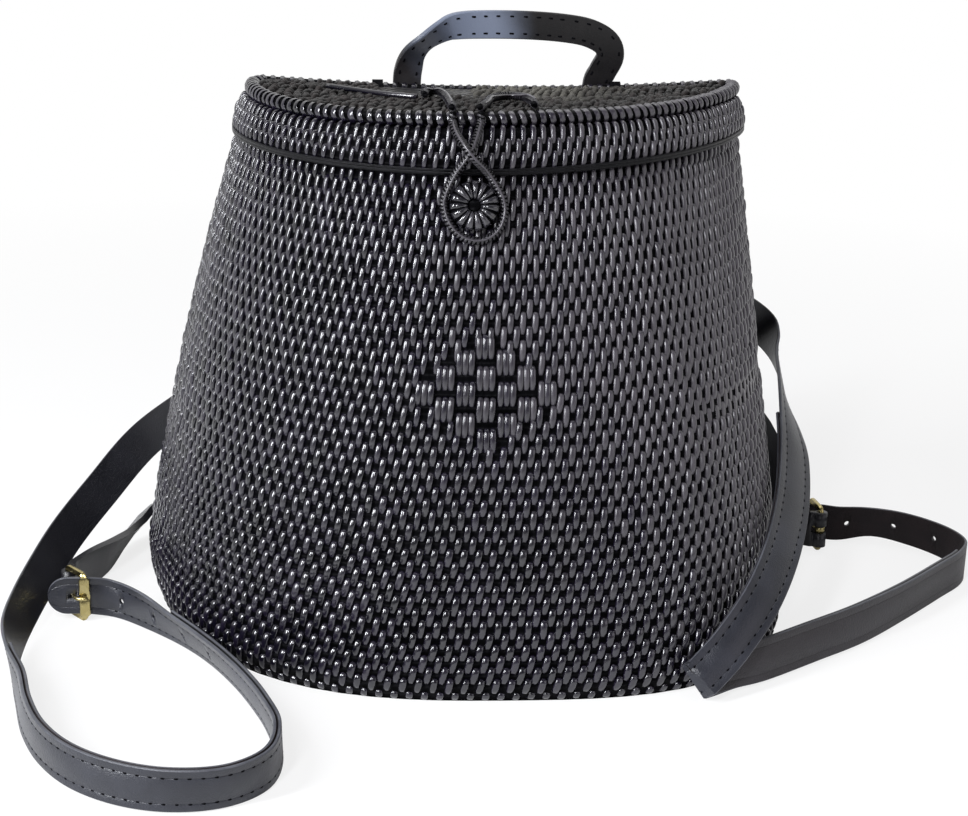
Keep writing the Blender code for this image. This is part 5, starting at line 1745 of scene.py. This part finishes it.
@dataclass
class Straps:
    """Both shoulder straps, their short lower straps and their buckles."""

    top_z: float = 0.1780
    top_spread: float = 0.0190
    hole_radius: float = 0.0014
    hole_pitch: float = 0.0240
    hole_count: int = 4
    prong_hole: float = 0.0050
    prong_lift_deg: float = 9.0
    prong_radius: float = 0.0009
    slot_width: float = 0.0024
    tail_tip: float = 0.0090
    tail_past_bar: float = 0.0170
    wire_radius: float = 0.0012
    bar_spacing: float = 0.0140
    side_clearance: float = 0.0004
    plate_width: float = 0.0050
    plate_thickness: float = 0.0019
    side_width: float = 0.0030
    seat_depth: float = 0.0007
    corner: float = 0.0022
    stitch_start: float = 0.004
    stitch_end_gap: float = 0.002
    stitch_tail_gap: float = 0.006
    stitch_size: Triple = (0.0009, 0.00030, 0.0019)
    wall_points: Dict[Side, Tuple[Pair, ...]] = field(default_factory=lambda: {
        Side.LEFT: ((-0.134, 0.640), (-0.259, 0.535)),
        Side.RIGHT: ((0.300, 0.663), (0.430, 0.592)),
    })
    routes: Dict[Side, Route] = field(default_factory=lambda: {
        Side.LEFT: (
            (-0.380, 0.342, 0.430, 176, 50), (-0.501, 0.334, 0.330, 167, 50), (-0.622, 0.309, 0.244, 167, 49),
            (-0.705, 0.221, 0.165, 173, 50), (-0.764, 0.129, 0.109, 176, 49), (-0.797, 0.021, 0.075, 178, 48),
            (-0.818, -0.096, 0.054, 183, 53), (-0.826, -0.213, 0.044, 187, 62), (-0.814, -0.330, 0.041, 185, 80),
            (-0.785, -0.442, 0.040, 10, 86), (-0.760, -0.551, 0.040, 13, 86), (-0.722, -0.651, 0.040, 60, 88),
            (-0.664, -0.735, 0.040, 60, 88), (-0.584, -0.795, 0.040, 60, 88), (-0.497, -0.822, 0.040, -50, 88),
            (-0.409, -0.810, 0.040, -61, 84), (-0.346, -0.751, 0.040, -45, 86), (-0.330, -0.655, 0.040, 170, 88),
            (-0.351, -0.551, 0.040, 195, 80), (-0.384, -0.453, 0.039, 199, 75), (-0.426, -0.355, 0.038, 201, 70),
            (-0.476, -0.263, 0.038, 207, 67), (-0.532, -0.179, 0.038, 213, 70), (-0.597, -0.098, 0.040, 235, 84)),
        Side.RIGHT: (
            (0.559, 0.351, 0.530, 0, 60), (0.639, 0.359, 0.480, -20, 62), (0.668, 0.334, 0.442, -75, 64),
            (0.672, 0.284, 0.409, -116, 57), (0.668, 0.209, 0.380, -130, 60), (0.668, 0.117, 0.342, 190, 52),
            (0.664, 0.033, 0.301, 170, 42), (0.639, -0.092, 0.250, 166, 38), (0.597, -0.217, 0.198, 165, 38),
            (0.543, -0.319, 0.144, 164, 38), (0.480, -0.388, 0.088, 158, 40), (0.438, -0.419, 0.054, 146, 42),
            (0.417, -0.434, 0.040, 140, 42), (0.413, -0.424, 0.036, 138, 43), (0.436, -0.405, 0.034, 136, 46),
            (0.480, -0.380, 0.037, 132, 56), (0.547, -0.346, 0.038, 128, 68), (0.655, -0.271, 0.040, 128, 73),
            (0.760, -0.192, 0.040, 128, 76), (0.868, -0.090, 0.040, 128, 86), (0.972, 0.021, 0.040, 130, 88),
            (1.031, 0.088, 0.040, 130, 88), (1.054, 0.150, 0.040, 0, 88), (1.035, 0.221, 0.040, -150, 86),
            (0.981, 0.292, 0.040, -130, 80), (0.914, 0.336, 0.040, -100, 72)),
    })
    bars: Dict[Side, Tuple[float, float, float, float]] = field(default_factory=lambda: {
        Side.LEFT: (-0.7137, -0.0593, 183.0, 56.0),
        Side.RIGHT: (0.7785, 0.3389, 188.0, 90.0),
    })
    first_layer_end: Dict[Side, int] = field(default_factory=lambda: {Side.LEFT: 25, Side.RIGHT: 24})
    second_layer_start: Dict[Side, int] = field(default_factory=lambda: {Side.LEFT: 11, Side.RIGHT: 8})

    @property
    def buckle_z(self) -> float:
        """Height of the buckle's middle, with its frame on the floor."""
        return STRAP_WIDTH / 2 + self.side_clearance + 2 * self.wire_radius

    def buckle_frame(self, shell: Shell, side: Side) -> Dict[str, Vector]:
        """Bars of a buckle, with the heading of the tail through it and the way it faces.

        Args:
            shell: The basket's outline.
            side: Left or right.

        Returns:
            The bars, the heading, the front and the strap's middle in it.
        """
        x, y, heading_deg, tilt_deg = self.bars[side]
        turn, tilt = math.radians(heading_deg), math.radians(tilt_deg)
        heading = Vector((math.cos(turn), math.sin(turn), 0.0))
        across = heading.cross(UP)
        front = -across if side is Side.LEFT else across
        bar = Vector((x * shell.height, y * shell.height, self.buckle_z))
        over = LAYER_OFFSET + STRAP_LAYER / 2 + GAP + self.wire_radius
        hinge = bar + (heading * math.cos(tilt) - front * math.sin(tilt)) * self.bar_spacing
        return {"front_bar": bar, "hinge_bar": hinge, "heading": heading, "front": front,
                "middle": bar - front * over}

    def ribbon(self, shell: Shell, side: Side) -> Ribbon:
        """Route of a shoulder strap from the back wall, through its buckle, to its tip.

        Args:
            shell: The basket's outline.
            side: Left or right.

        Returns:
            The smoothed route.
        """
        sign = -1.0 if side is Side.LEFT else 1.0
        offset = GAP + STRAP_LAYER / 2 - LAYER_OFFSET
        points = [Vector((shell.lean_x + sign * self.top_spread, shell.back_y + offset, self.top_z))]
        for i, (x, z) in enumerate(self.wall_points[side]):
            y = shell.back_y + offset + RUN_GAP * (i + 1)
            points.append(Vector((x * shell.height, y, z * shell.height)))
        slope = (points[-1] - points[0]).normalized()
        edges = [Vector((0.0, -sign, 0.0)).cross(slope)] * len(points)
        for x, y, z, azimuth, elevation in self.routes[side]:
            points.append(Vector((x, y, z)) * shell.height)
            edges.append(edge_direction(azimuth, elevation))
        frame = self.buckle_frame(shell, side)
        for reach in (-self.bar_spacing, 0.0, self.tail_past_bar):
            point = frame["middle"] + frame["heading"] * reach
            point.z = STRAP_FLOOR_Z if reach < 0 else self.buckle_z
            points.append(point)
            edges.append(UP.copy())
        return Ribbon(points, edges)

    def build(self, maker: Maker) -> None:
        """Build both straps and all that belongs to them.

        Args:
            maker: The shared tools.
        """
        for side in Side:
            self.build_strap(maker, side)
            self.build_buckle(maker, side)
            prong = Body.LEFT_PRONG if side is Side.LEFT else Body.RIGHT_PRONG
            maker.carry_over("prong_" + side.value, prong, maker.palette.brass, 50.0)
            finish = maker.palette.leather_dark_and_shade
            maker.carry_over("short_strap_" + side.value, Body.BASKET, finish, 50.0)
            for place in ("handle", "upper", "lower"):
                for number in (1, 2):
                    node = "rivet_%s_%s_%d" % (place, side.value, number)
                    maker.carry_over(node, Body.BASKET, maker.palette.rivet, 30.0)

    def build_strap(self, maker: Maker, side: Side) -> None:
        """The two layers of a shoulder strap, their holes and their stitches.

        Args:
            maker: The shared tools.
            side: Left or right.
        """
        palette = maker.palette
        ribbon = self.ribbon(maker.shell, side)
        marks = ribbon.station_marks
        outer = 1.0 if side is Side.LEFT else -1.0
        first_end = marks[self.first_layer_end[side]]
        second_start = marks[self.second_layer_start[side]]
        band = Band()
        # The right strap's lower layer takes the painted shadow tone.
        grain = palette.leather if side is Side.LEFT else palette.leather_painted_shadow
        # The upper layer's inner face is near-black: painted shade.
        first = band.along("looks_strap_%s_upper" % side.value, ribbon, 0.0, first_end, LAYER_OFFSET * outer,
                           outer, palette.leather, palette.leather_dark_and_shade, palette.edge_wear_and_highlight)
        second = band.along("looks_strap_%s_lower" % side.value, ribbon, second_start, ribbon.length,
                            -LAYER_OFFSET * outer, -outer, grain, palette.flesh, palette.edge_wear_and_highlight,
                            self.tail_tip)
        second = self.cut_holes(maker, side, ribbon, second, outer)
        for made in (first, second):
            maker.settle(made, Body.BASKET, stands_for=(made.name.removeprefix("looks_"),))
        guide = Guide()
        band.stitches(guide, ribbon, self.stitch_start, first_end - self.stitch_end_gap, LAYER_OFFSET * outer,
                      outer)
        if side is Side.LEFT:
            last = ribbon.length - self.tail_past_bar - self.stitch_tail_gap
            band.stitches(guide, ribbon, second_start, last, -LAYER_OFFSET * outer, -outer)
        thread = Strands.strip("thread_unit")
        made = maker.repeat.grow("strap_stitches_" + side.value, guide, thread, self.stitch_size,
                                 palette.thread, 81, 0.10, 0.12)
        bpy.data.objects.remove(thread)
        maker.settle(made, Body.BASKET)

    def cut_holes(self, maker: Maker, side: Side, ribbon: Ribbon, band: Piece,
                  outer: float) -> Piece:
        """Punch the buckle holes and the slot of the one in use through the tail.

        Args:
            maker: The shared tools.
            side: Left or right.
            ribbon: The strap's middle line.
            band: The band to cut, which is removed.
            outer: 1 or -1, the side of the outer face.

        Returns:
            The cut band.
        """
        frame = self.buckle_frame(maker.shell, side)
        bm = bmesh.new()
        bar_mark = ribbon.station_marks[-2]
        for i in range(1, self.hole_count + 1):
            point, tangent, _, normal = ribbon.at(bar_mark + self.prong_hole - self.hole_pitch * i)
            place = self.matrix(point - normal * LAYER_OFFSET * outer, normal, tangent)
            bmesh.ops.create_cone(bm, cap_ends=True, segments=16, radius1=self.hole_radius,
                                  radius2=self.hole_radius, depth=2 * STRAP_LAYER, matrix=place)
        reach = (frame["hinge_bar"] - frame["middle"]).length
        play = reach * math.radians(self.prong_lift_deg)
        spot = frame["middle"] + frame["heading"] * (self.prong_hole + play / 2)
        spot += frame["front"] * LAYER_OFFSET
        size = (2 * (self.prong_radius + RUN_GAP) + play, self.slot_width, 6 * STRAP_LAYER)
        place = self.matrix(spot, frame["front"], frame["heading"]) @ Matrix.Diagonal((*size, 1.0))
        bmesh.ops.create_cube(bm, size=1.0, matrix=place)
        cutter = bm_object("holes", bm)
        modifier = band.modifiers.new("holes", "BOOLEAN")
        modifier.operation = "DIFFERENCE"
        modifier.solver = "EXACT"
        modifier.object = cutter
        name = band.name
        band.name = "uncut_band"
        made = plain_mesh(band, name)
        bpy.data.objects.remove(cutter)
        return made

    @staticmethod
    def matrix(point: Vector, axis: Vector, side: Vector) -> Matrix:
        """Matrix at a point whose Z runs along the axis and whose X is nearest to side."""
        z_axis = axis.normalized()
        x_axis = (side - z_axis * side.dot(z_axis)).normalized()
        rotation = Matrix((x_axis, z_axis.cross(x_axis), z_axis)).transposed()
        return Matrix.Translation(point) @ rotation.to_4x4()

    def build_buckle(self, maker: Maker, side: Side) -> None:
        """Buckle frame: a flat front bar with a seat for the prong, and round side bars.

        Args:
            maker: The shared tools.
            side: Left or right.
        """
        frame = self.buckle_frame(maker.shell, side)
        front_bar, hinge_bar = frame["front_bar"], frame["hinge_bar"]
        corner = self.corner
        half = STRAP_WIDTH / 2 + self.side_clearance + self.wire_radius - corner
        middle = (front_bar + hinge_bar) / 2
        across = (hinge_bar - front_bar).normalized()
        reach = self.bar_spacing / 2 - corner
        face = across.cross(UP).normalized()
        path: List[Vector] = []
        for number in range(4):
            out = 1.0 if number in (0, 3) else -1.0
            rise = 1.0 if number in (0, 1) else -1.0
            pivot = middle + across * out * reach + UP * rise * half
            for i in range(5):
                angle = math.radians(90) * (number + i / 4)
                path.append(pivot + (across * math.cos(angle) + UP * math.sin(angle)) * corner)
            if number == 1:
                path += [front_bar + UP * half * share
                         for share in (0.8, 0.5, 0.2, 0.12, -0.12, -0.2, -0.5, -0.8)]
        sections = []
        count = len(path)
        for i, point in enumerate(path):
            run = (path[(i + 1) % count] - path[i - 1]).normalized()
            on_front = (point - middle).dot(across) < -reach - corner / 2
            seat = on_front and abs(point.z - front_bar.z) < half * 0.15
            on_plate = on_front and abs(point.z - front_bar.z) < half * 1.05
            wide = self.plate_width if on_plate else self.side_width
            thick = self.plate_thickness - (self.seat_depth if seat else 0.0)
            outer = run.cross(face).normalized()
            if outer.dot(point - middle) < 0:
                outer = -outer
            if on_front:
                outer = -frame["heading"] if outer.dot(frame["heading"]) < 0 else frame["heading"]
            flat = outer.cross(run).normalized()
            shape = ((-0.5, -0.28), (-0.42, -0.5), (0.42, -0.5), (0.5, -0.28), (0.5, 0.28), (0.42, 0.5),
                     (-0.42, 0.5), (-0.5, 0.28))
            sections.append([point + outer * wide * a + flat * thick * b for a, b in shape])
        made = loft("looks_buckle_" + side.value, self.untwist(sections), closed=True, angle=45.0)
        maker.settle(made, Body.BASKET, maker.palette.brass, ("buckle_" + side.value,))

    @staticmethod
    def untwist(sections: List[List[Vector]]) -> List[List[Vector]]:
        """Start every section at the point nearest to the one before, going the same way.

        Args:
            sections: Closed sections along the frame.

        Returns:
            The turned sections.
        """
        result = [sections[0]]
        for section in sections[1:]:
            before = result[-1]
            size = len(section)
            best: Tuple[float, List[Vector]] = (math.inf, section)
            for flip in (section, list(reversed(section))):
                for shift in range(size):
                    turned = flip[shift:] + flip[:shift]
                    gap = sum((a - b).length for a, b in zip(turned, before))
                    if gap < best[0]:
                        best = (gap, turned)
            result.append(best[1])
        return result


@dataclass
class CarryHandle:
    """Leather carry handle and its two feet on the back."""

    width: float = 0.0132
    thickness: float = 0.0026
    hinge_height: float = 0.2150
    left_x: float = -0.0222
    right_x: float = 0.0676
    rise: float = 0.0480
    stitch_inset: float = 0.0026
    stitch_size: Triple = (0.0009, 0.0003, 0.0022)
    bevel: float = 0.0005
    route: Tuple[Triple, ...] = (
        (0.000, 0.00, 0), (0.000, 0.40, 0), (0.008, 0.55, 12), (0.034, 0.69, 34), (0.093, 0.81, 50),
        (0.183, 0.92, 36), (0.267, 0.975, 14), (0.440, 0.99, 0), (0.650, 0.985, 0), (0.830, 0.96, 0),
        (0.955, 0.915, 0), (1.045, 0.82, 0), (1.068, 0.69, 0), (1.030, 0.54, 0), (1.000, 0.40, 0),
        (1.000, 0.00, 0))

    def build(self, maker: Maker) -> None:
        """Build the handle, its stitches and its feet.

        Args:
            maker: The shared tools.
        """
        shell = maker.shell
        span = self.right_x - self.left_x
        y = shell.back_y + GAP + self.thickness / 2
        points = []
        for across, rise, _ in self.route:
            z = self.hinge_height + GAP / 2 + self.rise * rise
            points.append(Vector((self.left_x + span * across, y, z)))
        path = smooth_path(points, 6)
        twists = smooth_path([Vector((twist, 0.0)) for _, _, twist in self.route], 6)
        half, face = self.width / 2, self.thickness / 2
        bevel = self.bevel
        shape = ((half - bevel, face), (half, face - bevel), (half, bevel - face), (half - bevel, -face),
                 (bevel - half, -face), (-half, bevel - face), (-half, face - bevel), (bevel - half, face))
        sections = []
        guide = Guide()
        count = len(path)
        travelled = 0.0
        for i, point in enumerate(path):
            run = (path[min(count - 1, i + 1)] - path[max(0, i - 1)]).normalized()
            if i in (0, count - 1):
                run = Vector((0.0, 0.0, 1.0 if i == 0 else -1.0))
            turn = Matrix.Rotation(math.radians(twists[i].x), 3, run)
            out = turn @ Vector((-run.z, 0.0, run.x))
            deep = turn @ Vector((0.0, 1.0, 0.0))
            sections.append([point + out * a + deep * b for a, b in shape])
            travelled += (point - path[i - 1]).length if i else 0.0
            if travelled >= STITCH_PITCH:
                travelled = 0.0
                for sign in (-1.0, 1.0):
                    for front in (-1.0, 1.0):
                        place = point + out * sign * (half - self.stitch_inset) + deep * front * face
                        guide.add(place, deep * front, run)
        made = loft("looks_handle", sections, angle=38.0)
        maker.settle(made, Body.HANDLE, maker.palette.leather_handle, ("handle",))
        thread = Strands.strip("thread_unit")
        stitches = maker.repeat.grow("handle_stitches", guide, thread, self.stitch_size, maker.palette.thread,
                                     91, 0.08, 0.10)
        bpy.data.objects.remove(thread)
        maker.settle(stitches, Body.HANDLE)
        for side in Side:
            maker.carry_over("handle_foot_" + side.value, Body.BASKET,
                             maker.palette.leather_dark_and_shade, 30.0)


# Studio
@dataclass(frozen=True)
class Lamp:
    """A soft lamp: where it is, where it looks, how wide and how strong it is."""

    name: str
    place: Triple
    size: Pair
    power: float
    colour: Triple = (1.0, 1.0, 1.0)


@dataclass
class Studio:
    """Camera, floor, soft light and white surroundings."""

    place: Triple = (-0.0563, -0.9531, 0.4114)
    pitch: float = 0.3165
    yaw: float = 0.0716
    roll: float = 0.0212
    focal_pixels: float = 2190.2
    image_width: int = 968
    sensor: float = 36.0
    world_strength: float = 0.14
    room_turn: Pair = (-0.25, 0.45)
    target: Triple = (0.02, 0.0, 0.12)
    floor_reach: float = 6.0
    floor_tone: Colour = (0.86, 0.86, 0.86, 1.0)
    floor_rough: float = 0.9
    floor_seen: Pair = (0.80, 1.0)
    floor_fade: Pair = (0.35, 0.90)
    mirror_seen: Pair = (0.15, 1.0)
    mirror_fade: Pair = (0.25, 0.90)
    lamps: Tuple[Lamp, ...] = (
        Lamp("window", (-1.10, -0.70, 0.80), (0.13, 1.00), 33.0, (0.94, 0.96, 1.0)),
        Lamp("front_window", (-0.50, -1.20, 1.00), (0.12, 0.75), 16.0, (0.95, 0.96, 1.0)),
        Lamp("fill", (1.2, -0.8, 0.7), (1.1, 1.0), 4.0, (0.96, 0.92, 1.0)),
        Lamp("top", (0.1, 0.35, 1.3), (0.8, 0.6), 3.0),
    )

    def build(self) -> None:
        """Build the studio."""
        self.build_camera()
        self.build_floor()
        self.build_world()
        for lamp in self.lamps:
            self.build_lamp(lamp)
        bpy.context.scene.view_settings.view_transform = "Standard"

    def build_camera(self) -> None:
        """Camera at the photograph's angle."""
        flat = math.cos(self.pitch)
        forward = Vector((math.sin(self.yaw) * flat, math.cos(self.yaw) * flat, -math.sin(self.pitch)))
        level = Vector((math.cos(self.yaw), -math.sin(self.yaw), 0.0))
        above = level.cross(forward)
        right = level * math.cos(self.roll) + above * math.sin(self.roll)
        upright = above * math.cos(self.roll) - level * math.sin(self.roll)
        data = bpy.data.cameras.new("camera")
        data.sensor_width = self.sensor
        data.lens = self.focal_pixels / self.image_width * self.sensor
        camera = bpy.data.objects.new("camera", data)
        bpy.context.scene.collection.objects.link(camera)
        rotation = Matrix((right, upright, -forward)).transposed().to_4x4()
        camera.matrix_world = Matrix.Translation(self.place) @ rotation
        bpy.context.scene.camera = camera

    def build_floor(self) -> None:
        """Large pale floor that keeps a soft shadow."""
        bm = bmesh.new()
        bmesh.ops.create_grid(bm, x_segments=1, y_segments=1, size=self.floor_reach)
        floor = bm_object("floor", bm)
        material = bpy.data.materials.new("pale_floor")
        material.use_nodes = True
        graph = Graph(material.node_tree)
        nodes, links = material.node_tree.nodes, material.node_tree.links
        shader = nodes["Principled BSDF"]
        shader.inputs["Base Color"].default_value = self.floor_tone
        shader.inputs["Roughness"].default_value = self.floor_rough
        glow = graph.add("ShaderNodeEmission", {"Color": (1.0, 1.0, 1.0, 1.0), "Strength": 1.0})
        path = graph.add("ShaderNodeLightPath")
        mirrored = graph.maths("MAXIMUM", path.outputs["Is Glossy Ray"], path.outputs["Is Transmission Ray"])
        spot = graph.out("ShaderNodeTexCoord", "Object")
        away = graph.out("ShaderNodeVectorMath", "Value", {"Vector": spot}, operation="LENGTH")
        shares = []
        for ray, reach, ends in ((path.outputs["Is Camera Ray"], self.floor_fade, self.floor_seen),
                                 (mirrored, self.mirror_fade, self.mirror_seen)):
            fade = graph.out("ShaderNodeMapRange", "Result",
                             {"Value": away, "From Min": reach[0], "From Max": reach[1],
                              "To Min": ends[0], "To Max": ends[1]})
            shares.append(graph.maths("MULTIPLY", ray, fade))
        share = graph.maths("MAXIMUM", shares[0], shares[1])
        mix = graph.add("ShaderNodeMixShader")
        links.new(share, mix.inputs[0])
        links.new(shader.outputs[0], mix.inputs[1])
        links.new(glow.outputs[0], mix.inputs[2])
        links.new(mix.outputs[0], nodes["Material Output"].inputs["Surface"])
        floor.data.materials.append(material)

    def build_world(self) -> None:
        """White where it is the background and in mirrored rays from behind, and softer where it lights the
        basket.
        """
        world = bpy.data.worlds.new("surroundings")
        bpy.context.scene.world = world
        world.use_nodes = True
        graph = Graph(world.node_tree)
        path = graph.add("ShaderNodeLightPath")
        spot = graph.out("ShaderNodeTexCoord", "Generated")
        depth = graph.out("ShaderNodeSeparateXYZ", "Y", {"Vector": spot})
        behind = graph.out("ShaderNodeMapRange", "Result",
                           {"Value": depth, "From Min": self.room_turn[0], "From Max": self.room_turn[1]},
                           interpolation_type="SMOOTHSTEP")
        mirrored = graph.maths("MULTIPLY", behind, graph.maths("MAXIMUM", path.outputs["Is Glossy Ray"],
                                                               path.outputs["Is Transmission Ray"]))
        seen = graph.maths("MAXIMUM", path.outputs["Is Camera Ray"], mirrored)
        strength = graph.maths("ADD", graph.maths("MULTIPLY", seen, 1.0 - self.world_strength),
                               self.world_strength)
        back = world.node_tree.nodes["Background"]
        back.inputs["Color"].default_value = (1.0, 1.0, 1.0, 1.0)
        world.node_tree.links.new(strength, back.inputs["Strength"])

    def build_lamp(self, lamp: Lamp) -> None:
        """One soft rectangular lamp that looks at the basket.

        Args:
            lamp: What to build.
        """
        data = bpy.data.lights.new(lamp.name, "AREA")
        data.shape = "RECTANGLE"
        data.size, data.size_y = lamp.size
        data.energy = lamp.power
        data.color = lamp.colour
        made = bpy.data.objects.new(lamp.name, data)
        bpy.context.scene.collection.objects.link(made)
        made.location = lamp.place
        direction = Vector(self.target) - Vector(lamp.place)
        made.rotation_mode = "QUATERNION"
        made.rotation_quaternion = direction.to_track_quat("-Z", "Y")


def main() -> None:
    """Build the whole scene, one sub-assembly after another."""
    logging.basicConfig(level=logging.INFO, format="%(message)s")
    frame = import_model()
    maker = Maker(frame)
    Studio().build()
    for assembly in (WovenBody(), WovenLid(), Closure(), Straps(), CarryHandle()):
        LOG.info("building %s", type(assembly).__name__)
        assembly.build(maker)


if __name__ == "__main__":
    main()
